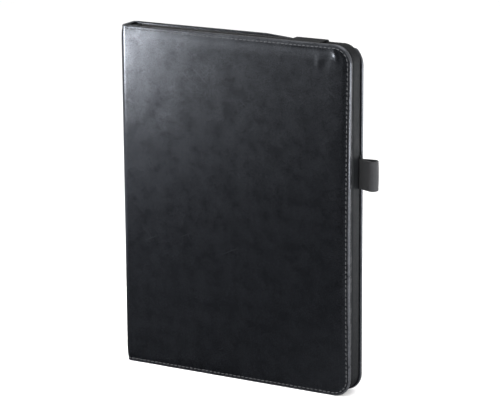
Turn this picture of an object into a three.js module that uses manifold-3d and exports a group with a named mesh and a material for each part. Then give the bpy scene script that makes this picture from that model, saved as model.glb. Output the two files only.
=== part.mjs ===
// Book-style folio case for a tablet of about ten inches, closed and standing on its lower edge.
//
// Frame: millimetres, +Z up. The front cover faces -Y, the spine is at -X and the free edge, with its pen
// loop, at +X. The origin is below the middle of the whole object, on the surface that it stands on.
//
// The covers are built up in layers, as on the bench: faux leather skin turned over the edges, foam in the
// front cover only, a stiff board and a soft lining. The tablet pocket is glued to the back cover. It has a
// back panel, foam-cored side walls and a front frame, and it is open along its top. A strap closes the
// mouth: it is sewn to the front frame and its tail sticks to the back of the pocket.

import * as THREE from 'three';
import { mergeVertices } from 'three/addons/utils/BufferGeometryUtils.js';
import Module from 'manifold-3d';

// ---- Driving dimensions ------------------------------------------------------------------------------

const HEIGHT = 265;            // covers, bottom edge to top edge
const WIDTH = 196;             // covers, spine to free edge
const DEPTH = 22;              // closed case, front face to back face
const COVER_CORNER = 14;       // radius of the covers' free corners
const GAP = 0.15;              // glue line between two layers
const CLEAR = 0.3;             // clearance where a piece is let into another

const SKIN = 0.9;              // faux leather with its turned edge
const BACK_BOARD = 1.5;
const BACK_LINING = 0.6;
const FRONT_FOAM = 1.15;
const FRONT_BOARD = 1.4;
const FRONT_LINING = 0.6;
const SPINE_BOARD = 1.4;
const SPINE_LINING = 0.6;
const CREASE = 3.7;            // soft fold left between the spine's outer face and each cover's board

const POCKET_INSET = 1.6;      // pocket set in from the covers' edges
const POCKET_SPINE_INSET = 6.5;
const POCKET_BACK = 1.1;
const POCKET_BACK_LINING = 0.5;
const POCKET_ROOM = 9.8;       // room for the tablet's thickness
const POCKET_WALL = 3.2;
const POCKET_CORNER = 13;
const POCKET_SPINE_CORNER = 4;
const STIFFENER = 1.0;
const FRAME_SKIN = 0.7;
const FRAME_BAR = 11;          // width of the frame round the screen
const TURN_IN = 0.6;           // frame skin beyond its stiffener, where it turns in
const WINDOW_CORNER = 5;

const STRAP_WIDTH = 26;
const STRAP_THICK = 1.0;
const STRAP_CENTRE = 57;       // from the covers' middle towards the free edge
const STRAP_TAIL = 20;
const PATCH_THICK = 0.5;
const PATCH_MARGIN = 2;

const NOTCH_LEFT = 41;         // camera and strap notch in the back cover, from the covers' middle
const NOTCH_RIGHT = 88;
const NOTCH_DEPTH = 25;
const NOTCH_CORNER = 4;
const NOTCH_SLOPE = 23;        // length of the shallow slope that leads into the notch
const NOTCH_SLOPE_DROP = 1.6;
const CAMERA_LEFT = 73.5;      // camera window in the pocket's back, from the covers' middle
const CAMERA_WIDTH = 11;
const CAMERA_HEIGHT = 14;
const CAMERA_TOP_MARGIN = 6;
const CAMERA_CORNER = 3;

const LOOP_REACH = 15;         // pen loop beyond the covers' free edge
const LOOP_LENGTH = 22.5;      // pen loop along the edge
const LOOP_MIDDLE = 168;      // height of its middle
const LOOP_THICK = 1.1;
const LOOP_WIDTH = 8.4;        // outer width of the loop at its fattest
const LOOP_ROOT_GAP = 0.8;     // bending length left between the pocket's side and the loop
const ANCHOR_LENGTH = 12;

const MAGNET_WIDTH = 8;
const MAGNET_LENGTH = 22;
const MAGNET_THICK = 1.1;
const MAGNET_EDGE = 9;         // from the covers' free edge
const MAGNET_HEIGHT = 140;

const ARC_SEGMENTS = 9;        // facets in a quarter turn

// ---- Places worked out from them ---------------------------------------------------------------------

const SPINE_X = -WIDTH / 2;
const FREE_X = WIDTH / 2;
const BACK_Y = DEPTH / 2;
const FRONT_Y = -DEPTH / 2;

const backBoardY = BACK_Y - SKIN - GAP;
const backLiningY = backBoardY - BACK_BOARD - GAP;
const backInnerY = backLiningY - BACK_LINING;
const pocketBackY = backInnerY - GAP;
const pocketLiningY = pocketBackY - POCKET_BACK - GAP;
const pocketRearY = pocketLiningY - POCKET_BACK_LINING;
const pocketFrontY = pocketRearY - POCKET_ROOM;
const frameSkinY = pocketFrontY - STIFFENER - GAP;

const frontFoamY = FRONT_Y + SKIN + GAP;
const frontBoardY = frontFoamY + FRONT_FOAM + GAP;
const frontLiningY = frontBoardY + FRONT_BOARD + GAP;
const frontInnerY = frontLiningY + FRONT_LINING;

const spineBoardX = SPINE_X + SKIN + GAP;
const spineLiningX = spineBoardX + SPINE_BOARD + GAP;
const spineInnerX = spineLiningX + SPINE_LINING;
const boardEdgeX = SPINE_X + CREASE;

const pocket = {
    left: SPINE_X + POCKET_SPINE_INSET,
    right: FREE_X - POCKET_INSET,
    low: POCKET_INSET,
    high: HEIGHT - POCKET_INSET,
};
const strapLeft = STRAP_CENTRE - STRAP_WIDTH / 2;
const strapRight = STRAP_CENTRE + STRAP_WIDTH / 2;
const strapLowZ = pocket.high + CLEAR;
const loopPatchY = pocketBackY + GAP;
const hookPatchY = loopPatchY + PATCH_THICK + GAP;
const tailY = hookPatchY + PATCH_THICK + GAP;
const strapRearY = tailY + STRAP_THICK;
const strapFrontY = frameSkinY - FRAME_SKIN - CLEAR;

// ---- Solid modelling helpers -------------------------------------------------------------------------

const wasm = await Module();
wasm.setup();

function toSolid(geometry) {
    const bare = geometry.clone();
    bare.deleteAttribute('normal');
    bare.deleteAttribute('uv');
    const merged = mergeVertices(bare, 1e-4);
    const mesh = new wasm.Mesh({
        numProp: 3,
        vertProperties: new Float32Array(merged.attributes.position.array),
        triVerts: new Uint32Array(merged.index.array),
    });
    return new wasm.Manifold(mesh);
}

function toGeometry(solid) {
    const mesh = solid.getMesh();
    const geometry = new THREE.BufferGeometry();
    geometry.setAttribute('position', new THREE.BufferAttribute(new Float32Array(mesh.vertProperties), 3));
    geometry.setIndex(new THREE.BufferAttribute(new Uint32Array(mesh.triVerts), 1));
    geometry.computeVertexNormals();
    return geometry;
}

function cut(geometry, ...tools) {
    return toGeometry(tools.reduce((solid, tool) => solid.subtract(toSolid(tool)), toSolid(geometry)));
}

function join(geometry, ...others) {
    return toGeometry(others.reduce((solid, other) => solid.add(toSolid(other)), toSolid(geometry)));
}

function common(geometry, tool) {
    return toGeometry(toSolid(geometry).intersect(toSolid(tool)));
}

// A box between two corners.
function block(x0, x1, y0, y1, z0, z1) {
    const geometry = new THREE.BoxGeometry(x1 - x0, y1 - y0, z1 - z0);
    geometry.translate((x0 + x1) / 2, (y0 + y1) / 2, (z0 + z1) / 2);
    return geometry;
}

// A sheet seen from the front (X across, Z up), between two depths.
function slab(shape, y0, y1) {
    const geometry = new THREE.ExtrudeGeometry(shape, {
        depth: y1 - y0,
        bevelEnabled: false,
        curveSegments: ARC_SEGMENTS,
    });
    geometry.rotateX(Math.PI / 2);
    geometry.translate(0, y1, 0);
    return geometry;
}

// A bar seen from above (X across, Y deep), between two heights.
function column(shape, z0, z1) {
    const geometry = new THREE.ExtrudeGeometry(shape, {
        depth: z1 - z0,
        bevelEnabled: false,
        curveSegments: ARC_SEGMENTS,
    });
    geometry.translate(0, 0, z0);
    return geometry;
}

// An outline with one corner radius on the spine side and another on the free side.
function outline(left, right, low, high, freeRadius, spineRadius = 0) {
    const shape = new THREE.Shape();
    shape.moveTo(left + spineRadius, low);
    shape.lineTo(right - freeRadius, low);
    if (freeRadius > 0) shape.absarc(right - freeRadius, low + freeRadius, freeRadius, -Math.PI / 2, 0);
    shape.lineTo(right, high - freeRadius);
    if (freeRadius > 0) shape.absarc(right - freeRadius, high - freeRadius, freeRadius, 0, Math.PI / 2);
    shape.lineTo(left + spineRadius, high);
    if (spineRadius > 0) shape.absarc(left + spineRadius, high - spineRadius, spineRadius, Math.PI / 2, Math.PI);
    shape.lineTo(left, low + spineRadius);
    if (spineRadius > 0) {
        shape.absarc(left + spineRadius, low + spineRadius, spineRadius, Math.PI, Math.PI * 1.5);
    }
    return shape;
}

function coverOutline(inset, left) {
    return outline(left, FREE_X - inset, inset, HEIGHT - inset, COVER_CORNER - inset);
}

function pocketOutline(inset) {
    return outline(
        pocket.left + inset, pocket.right - inset, pocket.low + inset, pocket.high - inset,
        POCKET_CORNER - inset, Math.max(POCKET_SPINE_CORNER - inset, 1),
    );
}

// ---- Materials ---------------------------------------------------------------------------------------

const finish = (color, roughness, metalness = 0) => new THREE.MeshStandardMaterial({ color, roughness, metalness });

const glossLeather = finish(0x1a1b1d, 0.28);
const mattLeather = finish(0x26272a, 0.6);
const suede = finish(0x2e2f32, 0.95);
const board = finish(0x8d8678, 0.9);
const foam = finish(0x55575a, 1.0);
const webbing = finish(0x3a3b3e, 0.85);
const hookTape = finish(0x1d1d1f, 0.95);
const steel = finish(0x9a9c9f, 0.35, 1);

const group = new THREE.Group();
group.position.x = -LOOP_REACH / 2;

function piece(name, geometry, material) {
    const mesh = new THREE.Mesh(geometry, material);
    mesh.name = name;
    group.add(mesh);
    return mesh;
}

// ---- Back cover --------------------------------------------------------------------------------------

// Opening in the back cover's top edge: a shallow slope from the middle of the case, then a rounded bay
// that takes the strap's tail and leaves the tablet's camera free.
function notchShape(grow) {
    const low = HEIGHT - NOTCH_DEPTH - grow;
    const left = NOTCH_LEFT - grow;
    const right = NOTCH_RIGHT + grow;
    const over = HEIGHT + 5;
    const shape = new THREE.Shape();
    shape.moveTo(left - NOTCH_SLOPE, over);
    shape.lineTo(left - NOTCH_SLOPE, HEIGHT - grow);
    shape.quadraticCurveTo(left - NOTCH_SLOPE / 3, HEIGHT - grow, left, HEIGHT - NOTCH_SLOPE_DROP - grow);
    shape.lineTo(left, low + NOTCH_CORNER);
    shape.absarc(left + NOTCH_CORNER, low + NOTCH_CORNER, NOTCH_CORNER, Math.PI, Math.PI * 1.5);
    shape.lineTo(right - NOTCH_CORNER, low);
    shape.absarc(right - NOTCH_CORNER, low + NOTCH_CORNER, NOTCH_CORNER, -Math.PI / 2, 0);
    shape.lineTo(right, over);
    return shape;
}

// A cover skin: a sheet over the outer face whose rim turns over the edges of the layers inside it.
function coverSkin(outerY, innerY, notched) {
    const facing = Math.sign(outerY);
    const sheetY = outerY - facing * SKIN;
    const [low, high] = [Math.min(outerY, innerY), Math.max(outerY, innerY)];
    const hollow = facing > 0 ? [innerY - 5, sheetY] : [sheetY, innerY + 5];
    const inner = coverOutline(SKIN, boardEdgeX);
    const crease = block(SPINE_X - 5, boardEdgeX + GAP, hollow[0], hollow[1], -5, HEIGHT + 5);
    let hollowBlock = slab(inner, hollow[0], hollow[1]);
    if (notched) hollowBlock = cut(hollowBlock, slab(notchShape(SKIN), hollow[0] - 1, hollow[1] + 1));
    let skin = cut(slab(coverOutline(0, SPINE_X + GAP), low, high), hollowBlock, crease);
    if (notched) skin = cut(skin, slab(notchShape(0), low - 5, high + 5));
    return skin;
}

function backLayer(y0, y1, left = boardEdgeX + CLEAR) {
    const sheet = slab(coverOutline(SKIN + GAP, left), y0, y1);
    return cut(sheet, slab(notchShape(SKIN + GAP), y0 - 1, y1 + 1));
}

const anchorLow = LOOP_MIDDLE - LOOP_LENGTH / 2;
const anchorHigh = LOOP_MIDDLE + LOOP_LENGTH / 2;

function buildBackCover() {
    piece('back_skin', coverSkin(BACK_Y, backInnerY, true), glossLeather);
    piece('back_board', backLayer(backBoardY - BACK_BOARD, backBoardY), board);
    const anchorBay = block(
        FREE_X - SKIN - ANCHOR_LENGTH - CLEAR, FREE_X,
        backInnerY - 1, backLiningY + 1, anchorLow - CLEAR, anchorHigh + CLEAR,
    );
    piece('back_lining', cut(backLayer(backInnerY, backLiningY), anchorBay), suede);
    const anchorRight = FREE_X - SKIN - GAP;
    const tails = block(anchorRight - ANCHOR_LENGTH, anchorRight, backInnerY, backLiningY, anchorLow, anchorHigh);
    piece('pen_loop_anchor', tails, webbing);
}

// ---- Tablet pocket -----------------------------------------------------------------------------------

function cameraWindow(grow) {
    const high = pocket.high - CAMERA_TOP_MARGIN + grow;
    const right = CAMERA_LEFT + CAMERA_WIDTH + grow;
    return outline(
        CAMERA_LEFT - grow, right, high - CAMERA_HEIGHT - 2 * grow, high, CAMERA_CORNER, CAMERA_CORNER,
    );
}

function screenWindow(grow) {
    return outline(
        pocket.left + FRAME_BAR - grow, pocket.right - FRAME_BAR + grow,
        pocket.low + FRAME_BAR - grow, pocket.high - FRAME_BAR + grow, WINDOW_CORNER, WINDOW_CORNER,
    );
}

function pocketWalls() {
    const y0 = pocketFrontY + GAP;
    const y1 = pocketBackY - POCKET_BACK - GAP;
    const ring = cut(slab(pocketOutline(0), y0, y1), slab(pocketOutline(POCKET_WALL), y0 - 1, y1 + 1));
    const mouthLeft = pocket.left + POCKET_WALL;
    const mouthRight = pocket.right - POCKET_CORNER;
    const topLow = pocket.high - POCKET_WALL - 1;
    const openRing = cut(ring, block(mouthLeft, mouthRight, y0 - 1, y1 + 1, topLow, pocket.high + 1));
    const bottomHigh = pocket.low + POCKET_WALL;
    const cornerHigh = pocket.low + POCKET_CORNER;
    const far = 400;
    const spineSide = block(-far, mouthLeft, -far, far, bottomHigh + GAP, far);
    const bottomSide = join(
        block(-far, far, -far, far, -far, bottomHigh),
        block(mouthRight, far, -far, far, -far, cornerHigh),
    );
    const freeSide = block(mouthRight - 1, far, -far, far, cornerHigh + GAP, far);
    return {
        spine: common(openRing, spineSide),
        bottom: common(openRing, bottomSide),
        free: common(openRing, freeSide),
    };
}

function buildPocket() {
    const backPanel = cut(
        slab(pocketOutline(0), pocketBackY - POCKET_BACK, pocketBackY),
        slab(cameraWindow(0), pocketBackY - POCKET_BACK - 1, pocketBackY + 1),
    );
    piece('pocket_back_panel', backPanel, mattLeather);
    const liningOutline = outline(
        pocket.left + POCKET_WALL + GAP, pocket.right - POCKET_WALL - GAP,
        pocket.low + POCKET_WALL + GAP, pocket.high,
        POCKET_CORNER - POCKET_WALL, 1,
    );
    const mouthCorner = block(
        pocket.right - POCKET_CORNER, FREE_X, pocketRearY - 1, pocketLiningY + 1,
        pocket.high - POCKET_CORNER, HEIGHT,
    );
    const backLining = cut(
        slab(liningOutline, pocketRearY, pocketLiningY),
        slab(cameraWindow(1), pocketRearY - 1, pocketLiningY + 1),
        mouthCorner,
    );
    piece('pocket_back_lining', backLining, suede);
    const walls = pocketWalls();
    piece('pocket_wall_spine', walls.spine, mattLeather);
    piece('pocket_wall_bottom', walls.bottom, mattLeather);
    piece('pocket_wall_free', walls.free, mattLeather);
    const stiffener = cut(
        slab(pocketOutline(TURN_IN), pocketFrontY - STIFFENER, pocketFrontY),
        slab(screenWindow(TURN_IN), pocketFrontY - STIFFENER - 1, pocketFrontY + 1),
    );
    piece('frame_stiffener', stiffener, board);
    const frameSkin = cut(
        slab(pocketOutline(0), frameSkinY - FRAME_SKIN, frameSkinY),
        slab(screenWindow(0), frameSkinY - FRAME_SKIN - 1, frameSkinY + 1),
    );
    piece('frame_skin', frameSkin, mattLeather);
    const loopPatch = block(
        strapLeft + PATCH_MARGIN, strapRight - PATCH_MARGIN, loopPatchY, loopPatchY + PATCH_THICK,
        strapLowZ - STRAP_TAIL + PATCH_MARGIN, pocket.high - PATCH_MARGIN,
    );
    piece('strap_loop_patch', loopPatch, hookTape);
}

// ---- Closing strap -----------------------------------------------------------------------------------

function buildStrap() {
    const top = block(strapLeft, strapRight, strapFrontY, strapRearY, strapLowZ, strapLowZ + STRAP_THICK);
    piece('strap_top', top, mattLeather);
    const tailHigh = strapLowZ - GAP;
    const tailLow = strapLowZ - STRAP_TAIL;
    const tailShape = new THREE.Shape();
    const tip = 5;
    tailShape.moveTo(strapLeft, tailHigh);
    tailShape.lineTo(strapLeft, tailLow + tip);
    tailShape.absarc(strapLeft + tip, tailLow + tip, tip, Math.PI, Math.PI * 1.5);
    tailShape.lineTo(strapRight - tip, tailLow);
    tailShape.absarc(strapRight - tip, tailLow + tip, tip, -Math.PI / 2, 0);
    tailShape.lineTo(strapRight, tailHigh);
    piece('strap_tail', slab(tailShape, tailY, strapRearY), mattLeather);
    const hookPatch = block(
        strapLeft + PATCH_MARGIN, strapRight - PATCH_MARGIN, hookPatchY, hookPatchY + PATCH_THICK,
        tailLow + tip, pocket.high - PATCH_MARGIN,
    );
    piece('strap_hook_patch', hookPatch, hookTape);
}

// ---- Pen loop ----------------------------------------------------------------------------------------

// Seen from above, the elastic leaves the edge as two layers lying together, opens into a drop and closes
// on itself round the pen. The inner outline starts where the two layers part.
const loopRootY = pocketBackY - LOOP_THICK + 0.05;
const loopRoundY = loopRootY - 1.6;
const loopRoundX = FREE_X + LOOP_REACH - LOOP_WIDTH / 2;

function dropShape(rootX, rootHalf, inset) {
    const half = LOOP_WIDTH / 2 - inset;
    const shape = new THREE.Shape();
    shape.moveTo(rootX, loopRootY - rootHalf);
    shape.bezierCurveTo(
        rootX + 3, loopRootY - rootHalf, loopRoundX - 5, loopRoundY - half, loopRoundX, loopRoundY - half,
    );
    shape.absarc(loopRoundX, loopRoundY, half, -Math.PI / 2, Math.PI / 2);
    shape.bezierCurveTo(
        loopRoundX - 5, loopRoundY + half, rootX + 3, loopRootY + rootHalf, rootX, loopRootY + rootHalf,
    );
    return shape;
}

function buildPenLoop() {
    const rootX = pocket.right + LOOP_ROOT_GAP;
    const body = column(dropShape(rootX, LOOP_THICK - GAP, 0), anchorLow, anchorHigh);
    const hole = column(dropShape(rootX + LOOP_THICK, GAP / 2, LOOP_THICK), anchorLow - 1, anchorHigh + 1);
    piece('pen_loop', cut(body, hole), webbing);
}

// ---- Spine -------------------------------------------------------------------------------------------

function buildSpine() {
    const endY = BACK_Y - SKIN - GAP;
    const hollow = block(
        SPINE_X + SKIN, spineInnerX + 5, -endY - 5, endY + 5, SKIN, HEIGHT - SKIN,
    );
    const skin = cut(block(SPINE_X, spineInnerX, -endY, endY, 0, HEIGHT), hollow);
    piece('spine_skin', skin, glossLeather);
    const low = SKIN + GAP;
    const high = HEIGHT - SKIN - GAP;
    const boardHalf = BACK_Y - CREASE;
    const boardSheet = block(spineBoardX, spineBoardX + SPINE_BOARD, -boardHalf, boardHalf, low, high);
    piece('spine_board', boardSheet, board);
    const liningSheet = block(spineLiningX, spineInnerX, -boardHalf + 1, boardHalf - 1, low, high);
    piece('spine_lining', liningSheet, suede);
}

// ---- Front cover -------------------------------------------------------------------------------------

function buildFrontCover() {
    const layer = (y0, y1) => slab(coverOutline(SKIN + GAP, boardEdgeX + CLEAR), y0, y1);
    piece('front_skin', coverSkin(FRONT_Y, frontInnerY, false), glossLeather);
    piece('front_foam', layer(frontFoamY, frontFoamY + FRONT_FOAM), foam);
    const magnetRight = FREE_X - MAGNET_EDGE;
    const magnetBay = block(
        magnetRight - MAGNET_WIDTH - CLEAR, magnetRight + CLEAR,
        frontBoardY - 1, frontBoardY + FRONT_BOARD + 1,
        MAGNET_HEIGHT - MAGNET_LENGTH / 2 - CLEAR, MAGNET_HEIGHT + MAGNET_LENGTH / 2 + CLEAR,
    );
    piece('front_board', cut(layer(frontBoardY, frontBoardY + FRONT_BOARD), magnetBay), board);
    const magnet = block(
        magnetRight - MAGNET_WIDTH, magnetRight, frontBoardY + GAP, frontBoardY + GAP + MAGNET_THICK,
        MAGNET_HEIGHT - MAGNET_LENGTH / 2, MAGNET_HEIGHT + MAGNET_LENGTH / 2,
    );
    piece('wake_magnet', magnet, steel);
    piece('front_lining', layer(frontLiningY, frontInnerY), suede);
}

buildBackCover();
buildPocket();
buildStrap();
buildPenLoop();
buildSpine();
buildFrontCover();

export default group;
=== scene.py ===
"""Looks of a folding tablet case: leather covers, soft pocket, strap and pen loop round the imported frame."""

from __future__ import annotations

import logging
import math
import random
from collections.abc import Callable, Sequence
from dataclasses import dataclass, field
from enum import Enum
from functools import cache

import bmesh
import bpy
from mathutils import Matrix, Vector


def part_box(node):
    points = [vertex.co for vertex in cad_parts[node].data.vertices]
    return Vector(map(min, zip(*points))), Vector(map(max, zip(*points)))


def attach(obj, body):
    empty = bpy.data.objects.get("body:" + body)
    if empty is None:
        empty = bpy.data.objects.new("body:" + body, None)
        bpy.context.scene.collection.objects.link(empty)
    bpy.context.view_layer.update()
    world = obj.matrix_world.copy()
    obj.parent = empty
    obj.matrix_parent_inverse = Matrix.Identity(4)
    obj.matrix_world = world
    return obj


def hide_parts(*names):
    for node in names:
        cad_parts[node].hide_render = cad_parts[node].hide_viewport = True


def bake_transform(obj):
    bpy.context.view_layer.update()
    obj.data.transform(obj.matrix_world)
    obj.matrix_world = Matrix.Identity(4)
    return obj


MM = 0.001
REST = "rest"
EDGE = "edge"
ACROSS = Vector((1, 0, 0))
UPWARD = Vector((0, 0, 1))
WHITE = (1.0, 1.0, 1.0, 1.0)
WELD = 1e-6
BEND_PITCH = 14.0

Point = tuple[float, float]
Place = Callable[[float, float, float], Vector]
Colour = tuple[float, float, float]

log = logging.getLogger("tablet_case")
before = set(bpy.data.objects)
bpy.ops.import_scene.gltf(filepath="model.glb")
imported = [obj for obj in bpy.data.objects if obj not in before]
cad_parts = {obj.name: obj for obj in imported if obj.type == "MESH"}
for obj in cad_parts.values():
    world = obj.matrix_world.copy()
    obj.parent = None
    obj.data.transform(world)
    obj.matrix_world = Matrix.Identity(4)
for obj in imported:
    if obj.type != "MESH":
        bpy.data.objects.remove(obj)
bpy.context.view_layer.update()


class Body(str, Enum):
    """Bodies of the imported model."""

    BACK = "back_cover"
    SPINE = "spine"
    FRONT = "front_cover"
    STRAP = "strap"
    TAIL = "strap_tail"
    LOOP = "pen_loop"


class Slot(str, Enum):
    """Material slots of the record."""

    GLOSS = "gloss_leather"
    MATT = "matt_leather"
    SUEDE = "suede"
    BOARD = "board"
    FOAM = "foam"
    WEBBING = "webbing"
    HOOK = "hook_tape"
    MAGNET = "magnet"
    THREAD_BLACK = "thread_black"
    THREAD_GREY = "thread_grey"


# --------------------------------------------------------------------------- shader nodes


class NodeDesk:
    """Adds and joins the nodes of one shader tree."""

    def __init__(self, tree: bpy.types.NodeTree) -> None:
        """Keeps the tree that is being worked on."""
        self.tree = tree

    def add(self, kind: str, settings: dict | None = None, inputs: dict | None = None) -> bpy.types.Node:
        """Adds a node.

        Args:
            kind: the node's type name.
            settings: properties of the node.
            inputs: values or output sockets by input name or number.

        Returns:
            The new node.
        """
        node = self.tree.nodes.new(kind)
        for name, value in (settings or {}).items():
            setattr(node, name, value)
        for name, value in (inputs or {}).items():
            self.feed(node.inputs[name], value)
        return node

    def feed(self, socket: bpy.types.NodeSocket, value: object) -> None:
        """Links a socket to another, or sets its value.

        Args:
            socket: the input socket.
            value: an output socket or a plain value.
        """
        if isinstance(value, bpy.types.NodeSocket):
            self.tree.links.new(value, socket)
        else:
            socket.default_value = value

    def math(self, operation: str, *values: object) -> bpy.types.NodeSocket:
        """Adds a Math node and returns its result.

        Args:
            operation: the node's operation.
            values: sockets or plain numbers.

        Returns:
            The node's output.
        """
        node = self.add("ShaderNodeMath", {"operation": operation})
        for socket, value in zip(node.inputs, values):
            self.feed(socket, value)
        return node.outputs[0]

    def plus(self, base: object, value: object, share: float) -> bpy.types.NodeSocket:
        """Adds a share of one value to another."""
        return self.math("ADD", base, self.math("MULTIPLY", value, share))

    def group(self, tree: bpy.types.NodeTree, **inputs: object) -> bpy.types.bpy_prop_collection:
        """Adds a shared group and returns its outputs."""
        return self.add("ShaderNodeGroup", {"node_tree": tree}, inputs).outputs

    def parts(self, vector: object) -> bpy.types.bpy_prop_collection:
        """Takes a vector apart and returns its three numbers."""
        return self.add("ShaderNodeSeparateXYZ", None, {"Vector": vector}).outputs

    def vector_math(self, operation: str, first: object, second: object) -> bpy.types.NodeSocket:
        """Adds a Vector Math node and returns its vector.

        Args:
            operation: the node's operation.
            first: a socket or a plain vector.
            second: a socket or a plain vector.

        Returns:
            The node's output.
        """
        node = self.add("ShaderNodeVectorMath", {"operation": operation})
        self.feed(node.inputs[0], first)
        self.feed(node.inputs[1], second)
        return node.outputs[0]

    def noise(self, vector: object, scale: object, detail: float = 2.0, rough: float = 0.5) -> bpy.types.Node:
        """Adds a noise texture on the given coordinates."""
        values = {"Vector": vector, "Scale": scale, "Detail": detail, "Roughness": rough}
        return self.add("ShaderNodeTexNoise", None, values)

    def remap(
        self, value: object, low: float, high: float, to_low: float = 0.0, to_high: float = 1.0
    ) -> bpy.types.NodeSocket:
        """Stretches a value between two limits, with soft ends.

        Args:
            value: the value.
            low: the limit that becomes to_low.
            high: the limit that becomes to_high.
            to_low: the result at the low limit.
            to_high: the result at the high limit.

        Returns:
            The node's output.
        """
        node = self.add(
            "ShaderNodeMapRange",
            {"interpolation_type": "SMOOTHSTEP"},
            {"Value": value, "From Min": low, "From Max": high, "To Min": to_low, "To Max": to_high},
        )
        return node.outputs["Result"]

    def mix_colour(self, factor: object, first: object, second: object) -> bpy.types.NodeSocket:
        """Mixes two colours by a factor.

        Args:
            factor: how much of the second colour shows.
            first: a socket or a plain colour.
            second: a socket or a plain colour.

        Returns:
            The mixed colour.
        """
        node = self.add("ShaderNodeMix", {"data_type": "RGBA"})
        for socket, value in ((node.inputs[0], factor), (node.inputs[6], first), (node.inputs[7], second)):
            self.feed(socket, (*value, 1.0) if isinstance(value, tuple) and len(value) == 3 else value)
        return node.outputs[2]


def blank_material(title: str) -> tuple[bpy.types.Material, NodeDesk, bpy.types.Node]:
    """Makes a material that holds only a Principled shader and its output.

    Args:
        title: the material's name.

    Returns:
        The material, the desk of its nodes and the shader.
    """
    material = bpy.data.materials.new(title)
    material.use_nodes = True
    material.node_tree.nodes.clear()
    desk = NodeDesk(material.node_tree)
    shader = desk.add("ShaderNodeBsdfPrincipled")
    desk.add("ShaderNodeOutputMaterial", None, {"Surface": shader.outputs[0]})
    return material, desk, shader


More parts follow.
